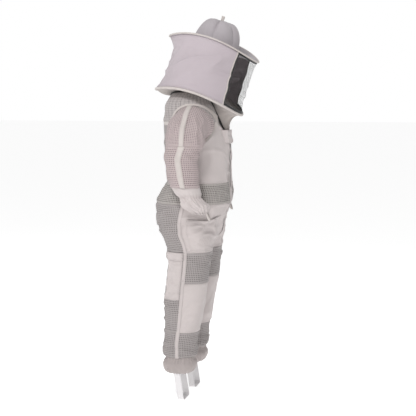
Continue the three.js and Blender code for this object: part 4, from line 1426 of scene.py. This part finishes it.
class SUIT_OT_hat(Operator):
    """Make the hat's crown, its tab, the brim, the rim and the sweatband"""

    bl_idname = "suit.hat"
    bl_label = "Hat"

    def execute(self, context):
        sizes = context.scene.suit_sizes
        low = BRIM_HEIGHT - BRIM_THICKNESS / 2

        def crown(s, t):
            angle = 360 * s
            rise = math.pi / 2 * t
            wall = math.cos(rise) ** (2 / 3.0) if t < 1 else 0.0
            height = math.sin(rise) ** (2 / 2.4) if t > 0 else 0.0
            behind = max(0.0, math.sin(math.radians(angle)))
            reach = CROWN_R * wall * (1 - 0.10 * behind * height)
            gore = abs(math.sin(math.radians(angle) * sizes.gores / 2)) ** 0.55
            reach += sizes.gore_puff * (gore - 0.85) * math.sin(rise) ** 0.4 * wall**0.2
            lift = CROWN_HEIGHT - 4 + 14 * (gore - 0.8) * math.sin(2 * rise) ** 2
            lift -= (12 - 5 * gore) * smoothstep(t, 0.72, 1.0)
            wobble = 1.5 * ripple((reach * math.cos(math.radians(angle)), reach * math.sin(math.radians(angle)),
                                   height * 100), 40)
            return hood_ring(angle, max(0.0, reach + wobble * wall), low + height * lift)

        piece = sheet("crown_gores", crown, finish("hat cotton"), 4, closed=True, pole=True, seam=False,
                      thickness=2.4, held=None)
        ride(piece, "hood", "cotton", "hat_crown")
        self.brim(sizes.brim_rows, low)
        rim = lambda s: hood_ring(360 * s, BRIM_R + 2.6, BRIM_HEIGHT)
        piece = tube("brim_binding", rim, 3.4, finish("bias tape"), 5, 12)
        ride(piece, "hood", "veil_cotton", "brim_rim")
        band = lambda s, t: hood_ring(360 * s, CROWN_R - 5.6, lerp(low + 2, low + 30, t))
        piece = sheet("sweatband_cloth", band, finish("elastic"), 5, closed=True, seam=False, thickness=2.4)
        ride(piece, "hood", "elastic", "sweatband")
        self.tab(low + CROWN_HEIGHT - 15)
        return {"FINISHED"}

    def brim(self, rows, low):
        def surface(s, t):
            radius = lerp(CROWN_R - 1, BRIM_R, t)
            quilt = 0.7 * abs(math.sin(math.pi * rows * t)) ** 0.6
            wave = 1.2 * ripple(hood_ring(360 * s, radius, 0), 70, seed=4.0) * t
            return hood_ring(360 * s, radius, low + BRIM_THICKNESS - 0.6 + quilt + wave)

        piece = sheet("brim_quilted", surface, finish("hat cotton"), 3.2, closed=True, seam=False, thickness=3,
                      flip=True, held=None)
        ride(piece, "hood", "cotton", "hat_brim")

    def tab(self, foot):
        def surface(s, t):
            turn = math.pi * t
            reach = 26
            y = 2.6 * math.cos(turn) if 0.2 < t < 0.8 else (1.6 if t <= 0.2 else -1.6)
            z = foot + reach * math.sin(turn) ** 0.35 if 0 < t < 1 else foot
            return hood_point(-y, lerp(-6.5, 6.5, s), z)

        piece = band("crown_tab", surface, "bias tape", 2.2, thickness=1.2)
        ride(piece, "hood", "cotton", "hat_tab")


class SUIT_OT_veil(Operator):
    """Make the veil's cloth, its net window, the hoop, the neck skirt and the tapes"""

    bl_idname = "suit.veil"
    bl_label = "Veil"

    def execute(self, context):
        edge = WINDOW_HALF_ANGLE - 90
        piece = sheet("veil_sides", self.wall(edge, 180 - edge), finish("veil cotton"), 5,
                      thickness=COTTON_THICKNESS, held="hung")
        ride(piece, "hood", "veil_cotton", "veil_cloth")
        piece = sheet("window_net", self.wall(-180 - edge, edge), finish("veil net"), 6, seam=False, thickness=0,
                      held="hung")
        ride(piece, "hood", "veil_net", "veil_window")
        self.window_frame(edge)
        hoop = lambda s: hood_ring(360 * s, HOOP_R, 0)
        piece = tube("hoop_channel", hoop, HOOP_TUBE_R, finish("bias tape"), 5, 12, flat=1.25)
        ride(piece, "hood", "veil_cotton", "veil_hoop")
        # The skirt and its gusset take beige cotton with a little painted shade.
        piece = sheet("skirt_cloth", self.skirt, finish("beige skirt cotton with painted shade"), 5, thickness=COTTON_THICKNESS, flip=True,
                      held="gathered")
        ride(piece, "hood", "veil_cotton", "neck_skirt")
        gusset = lambda s, t: self.skirt(0, t).lerp(self.skirt(1, t), s) + Vector((0, 1, 0))
        piece = sheet("throat_gusset", gusset, finish("beige skirt cotton with painted shade"), 3, thickness=COTTON_THICKNESS, seam=False,
                      flip=True, held="hung")
        ride(piece, "hood", "veil_cotton", "neck_skirt")
        return {"FINISHED"}

    @staticmethod
    def veil_point(angle, share):
        turn = math.radians(angle)
        behind = max(0.0, math.sin(turn)) ** 2
        sag = 9 * math.sin(math.pi * share) + 22 * behind * math.sin(math.pi * share**1.6)
        low, high = HOOP_TUBE_R - 0.1, BRIM_HEIGHT - BRIM_THICKNESS / 2 - 0.4
        place = (120 * math.cos(turn), 120 * math.sin(turn), 190 * share)
        slant = (place[0], place[1], place[2] + 0.7 * place[1])
        drape = 15 * ripple(place, 80, (1, 1, 0.45), 2.0) + 6 * ripple(slant, 36, (0.5, 0.5, 1), 6.0) - 5
        drape += 13 * crease(slant, 95, (0.5, 0.5, 1.5), 7.1)
        drape *= math.sin(math.pi * clamp(share, 0, 1)) ** 0.6
        from_edge = abs(abs((angle + 270) % 360 - 180) - (180 - WINDOW_HALF_ANGLE))
        drape *= lerp(0.3, 0.8, smoothstep(from_edge, 3, 20))
        return hood_ring(angle, HOOP_R - 1.5 - sag + drape, lerp(low, high, share))

    @classmethod
    def wall(cls, first, last):
        return lambda s, t: cls.veil_point(lerp(first, last, s), t)

    def window_frame(self, edge):
        """Light piping on the cloth's edge, and black tape round the net."""
        for name, angle, inward in (("left", edge, -1), ("right", -180 - edge, 1)):
            piping = lambda s, t: self.veil_point(angle + lerp(-0.4, 1.6, s) * -inward, t)
            piece = sheet(f"window_piping_{name}", piping if inward < 0 else
                          (lambda s, t: piping(1 - s, t)), finish("bias tape"), 3, lift=1.0,
                          seam=False, thickness=1.2)
            ride(piece, "hood", "veil_cotton")
            tape = lambda s, t: self.veil_point(angle + lerp(0.2, 2.4, s) * inward, t)
            piece = sheet(f"window_tape_{name}", tape if inward > 0 else
                          (lambda s, t: tape(1 - s, t)), finish("black tape"), 3, lift=0.6,
                          seam=False, thickness=0.8)
            ride(piece, "hood", "veil_net")
        for name, low, high in (("low", 0.005, 0.05), ("high", 0.965, 0.998)):
            tape = lambda s, t: self.veil_point(lerp(-180 - edge, edge, s), lerp(low, high, t))
            piece = band(f"window_tape_{name}", tape, "black tape", lift=0.6, thickness=0.8)
            ride(piece, "hood", "veil_net")

    @staticmethod
    def skirt_foot(share):
        _, across, out = neck_axes(share)
        return neck_line(share) + across * 5.6 + out * 2.6

    @staticmethod
    def turn_of(point):
        turn = math.atan2(point.y - HOOP_Y, point.x)
        return turn + 2 * math.pi if turn < -math.pi / 2 else turn

    @classmethod
    def skirt(cls, s, t):
        start = cls.skirt_foot(s)
        spread = math.pi / (math.pi / 2 - cls.turn_of(cls.skirt_foot(0)))
        turn = math.pi / 2 + (cls.turn_of(start) - math.pi / 2) * spread
        end = hood_ring(math.degrees(turn), HOOP_R - 3, -1)
        ahead = max(0.0, -math.sin(turn)) ** 2
        behind = max(0.0, math.sin(turn)) ** 2
        middle = start.lerp(end, 0.5)
        middle.z += lerp(6, -20, behind)
        middle = middle.lerp(Vector((start.x * 0.9, lerp(start.y, end.y, 0.04), end.z + 4)), ahead)
        u = 1 - t
        point = start * (u * u) + middle * (2 * u * t) + end * (t * t)
        pleat = 2.4 * math.cos(turn * 34 + 2 * math.sin(turn * 5)) * math.sin(math.pi * t) * (1 - 0.5 * t)
        point.z += max(-1.5, pleat)
        return point


class SUIT_PT_panel(Panel):
    """The suit's sizes, colours and steps"""

    bl_idname = "SUIT_PT_panel"
    bl_label = "Beekeeping Suit"
    bl_space_type = "VIEW_3D"
    bl_region_type = "UI"
    bl_category = "Suit"

    def draw(self, context):
        scene = context.scene
        for settings in (scene.suit_colours, scene.suit_sizes, scene.suit_stage):
            box = self.layout.box()
            for key in settings.bl_rna.properties.keys():
                if key not in ("rna_type", "name"):
                    box.prop(settings, key)
        for operator in OPERATORS:
            self.layout.operator(operator.bl_idname)


SETTINGS = {"suit_colours": SuitColours, "suit_sizes": SuitSizes, "suit_stage": StageSettings}
OPERATORS = (
    SUIT_OT_stage,
    SUIT_OT_torso,
    SUIT_OT_hips,
    SUIT_OT_legs,
    SUIT_OT_sleeves,
    SUIT_OT_zips,
    SUIT_OT_hat,
    SUIT_OT_veil,
)


def register():
    for kind in (*SETTINGS.values(), *OPERATORS, SUIT_PT_panel):
        bpy.utils.register_class(kind)
    for key, kind in SETTINGS.items():
        setattr(bpy.types.Scene, key, PointerProperty(type=kind))


def unregister():
    for key in SETTINGS:
        delattr(bpy.types.Scene, key)
    for kind in (SUIT_PT_panel, *reversed(OPERATORS), *SETTINGS.values()):
        bpy.utils.unregister_class(kind)


def main():
    register()
    for operator in OPERATORS:
        group, action = operator.bl_idname.split(".")
        getattr(getattr(bpy.ops, group), action)()


if __name__ == "__main__":
    main()
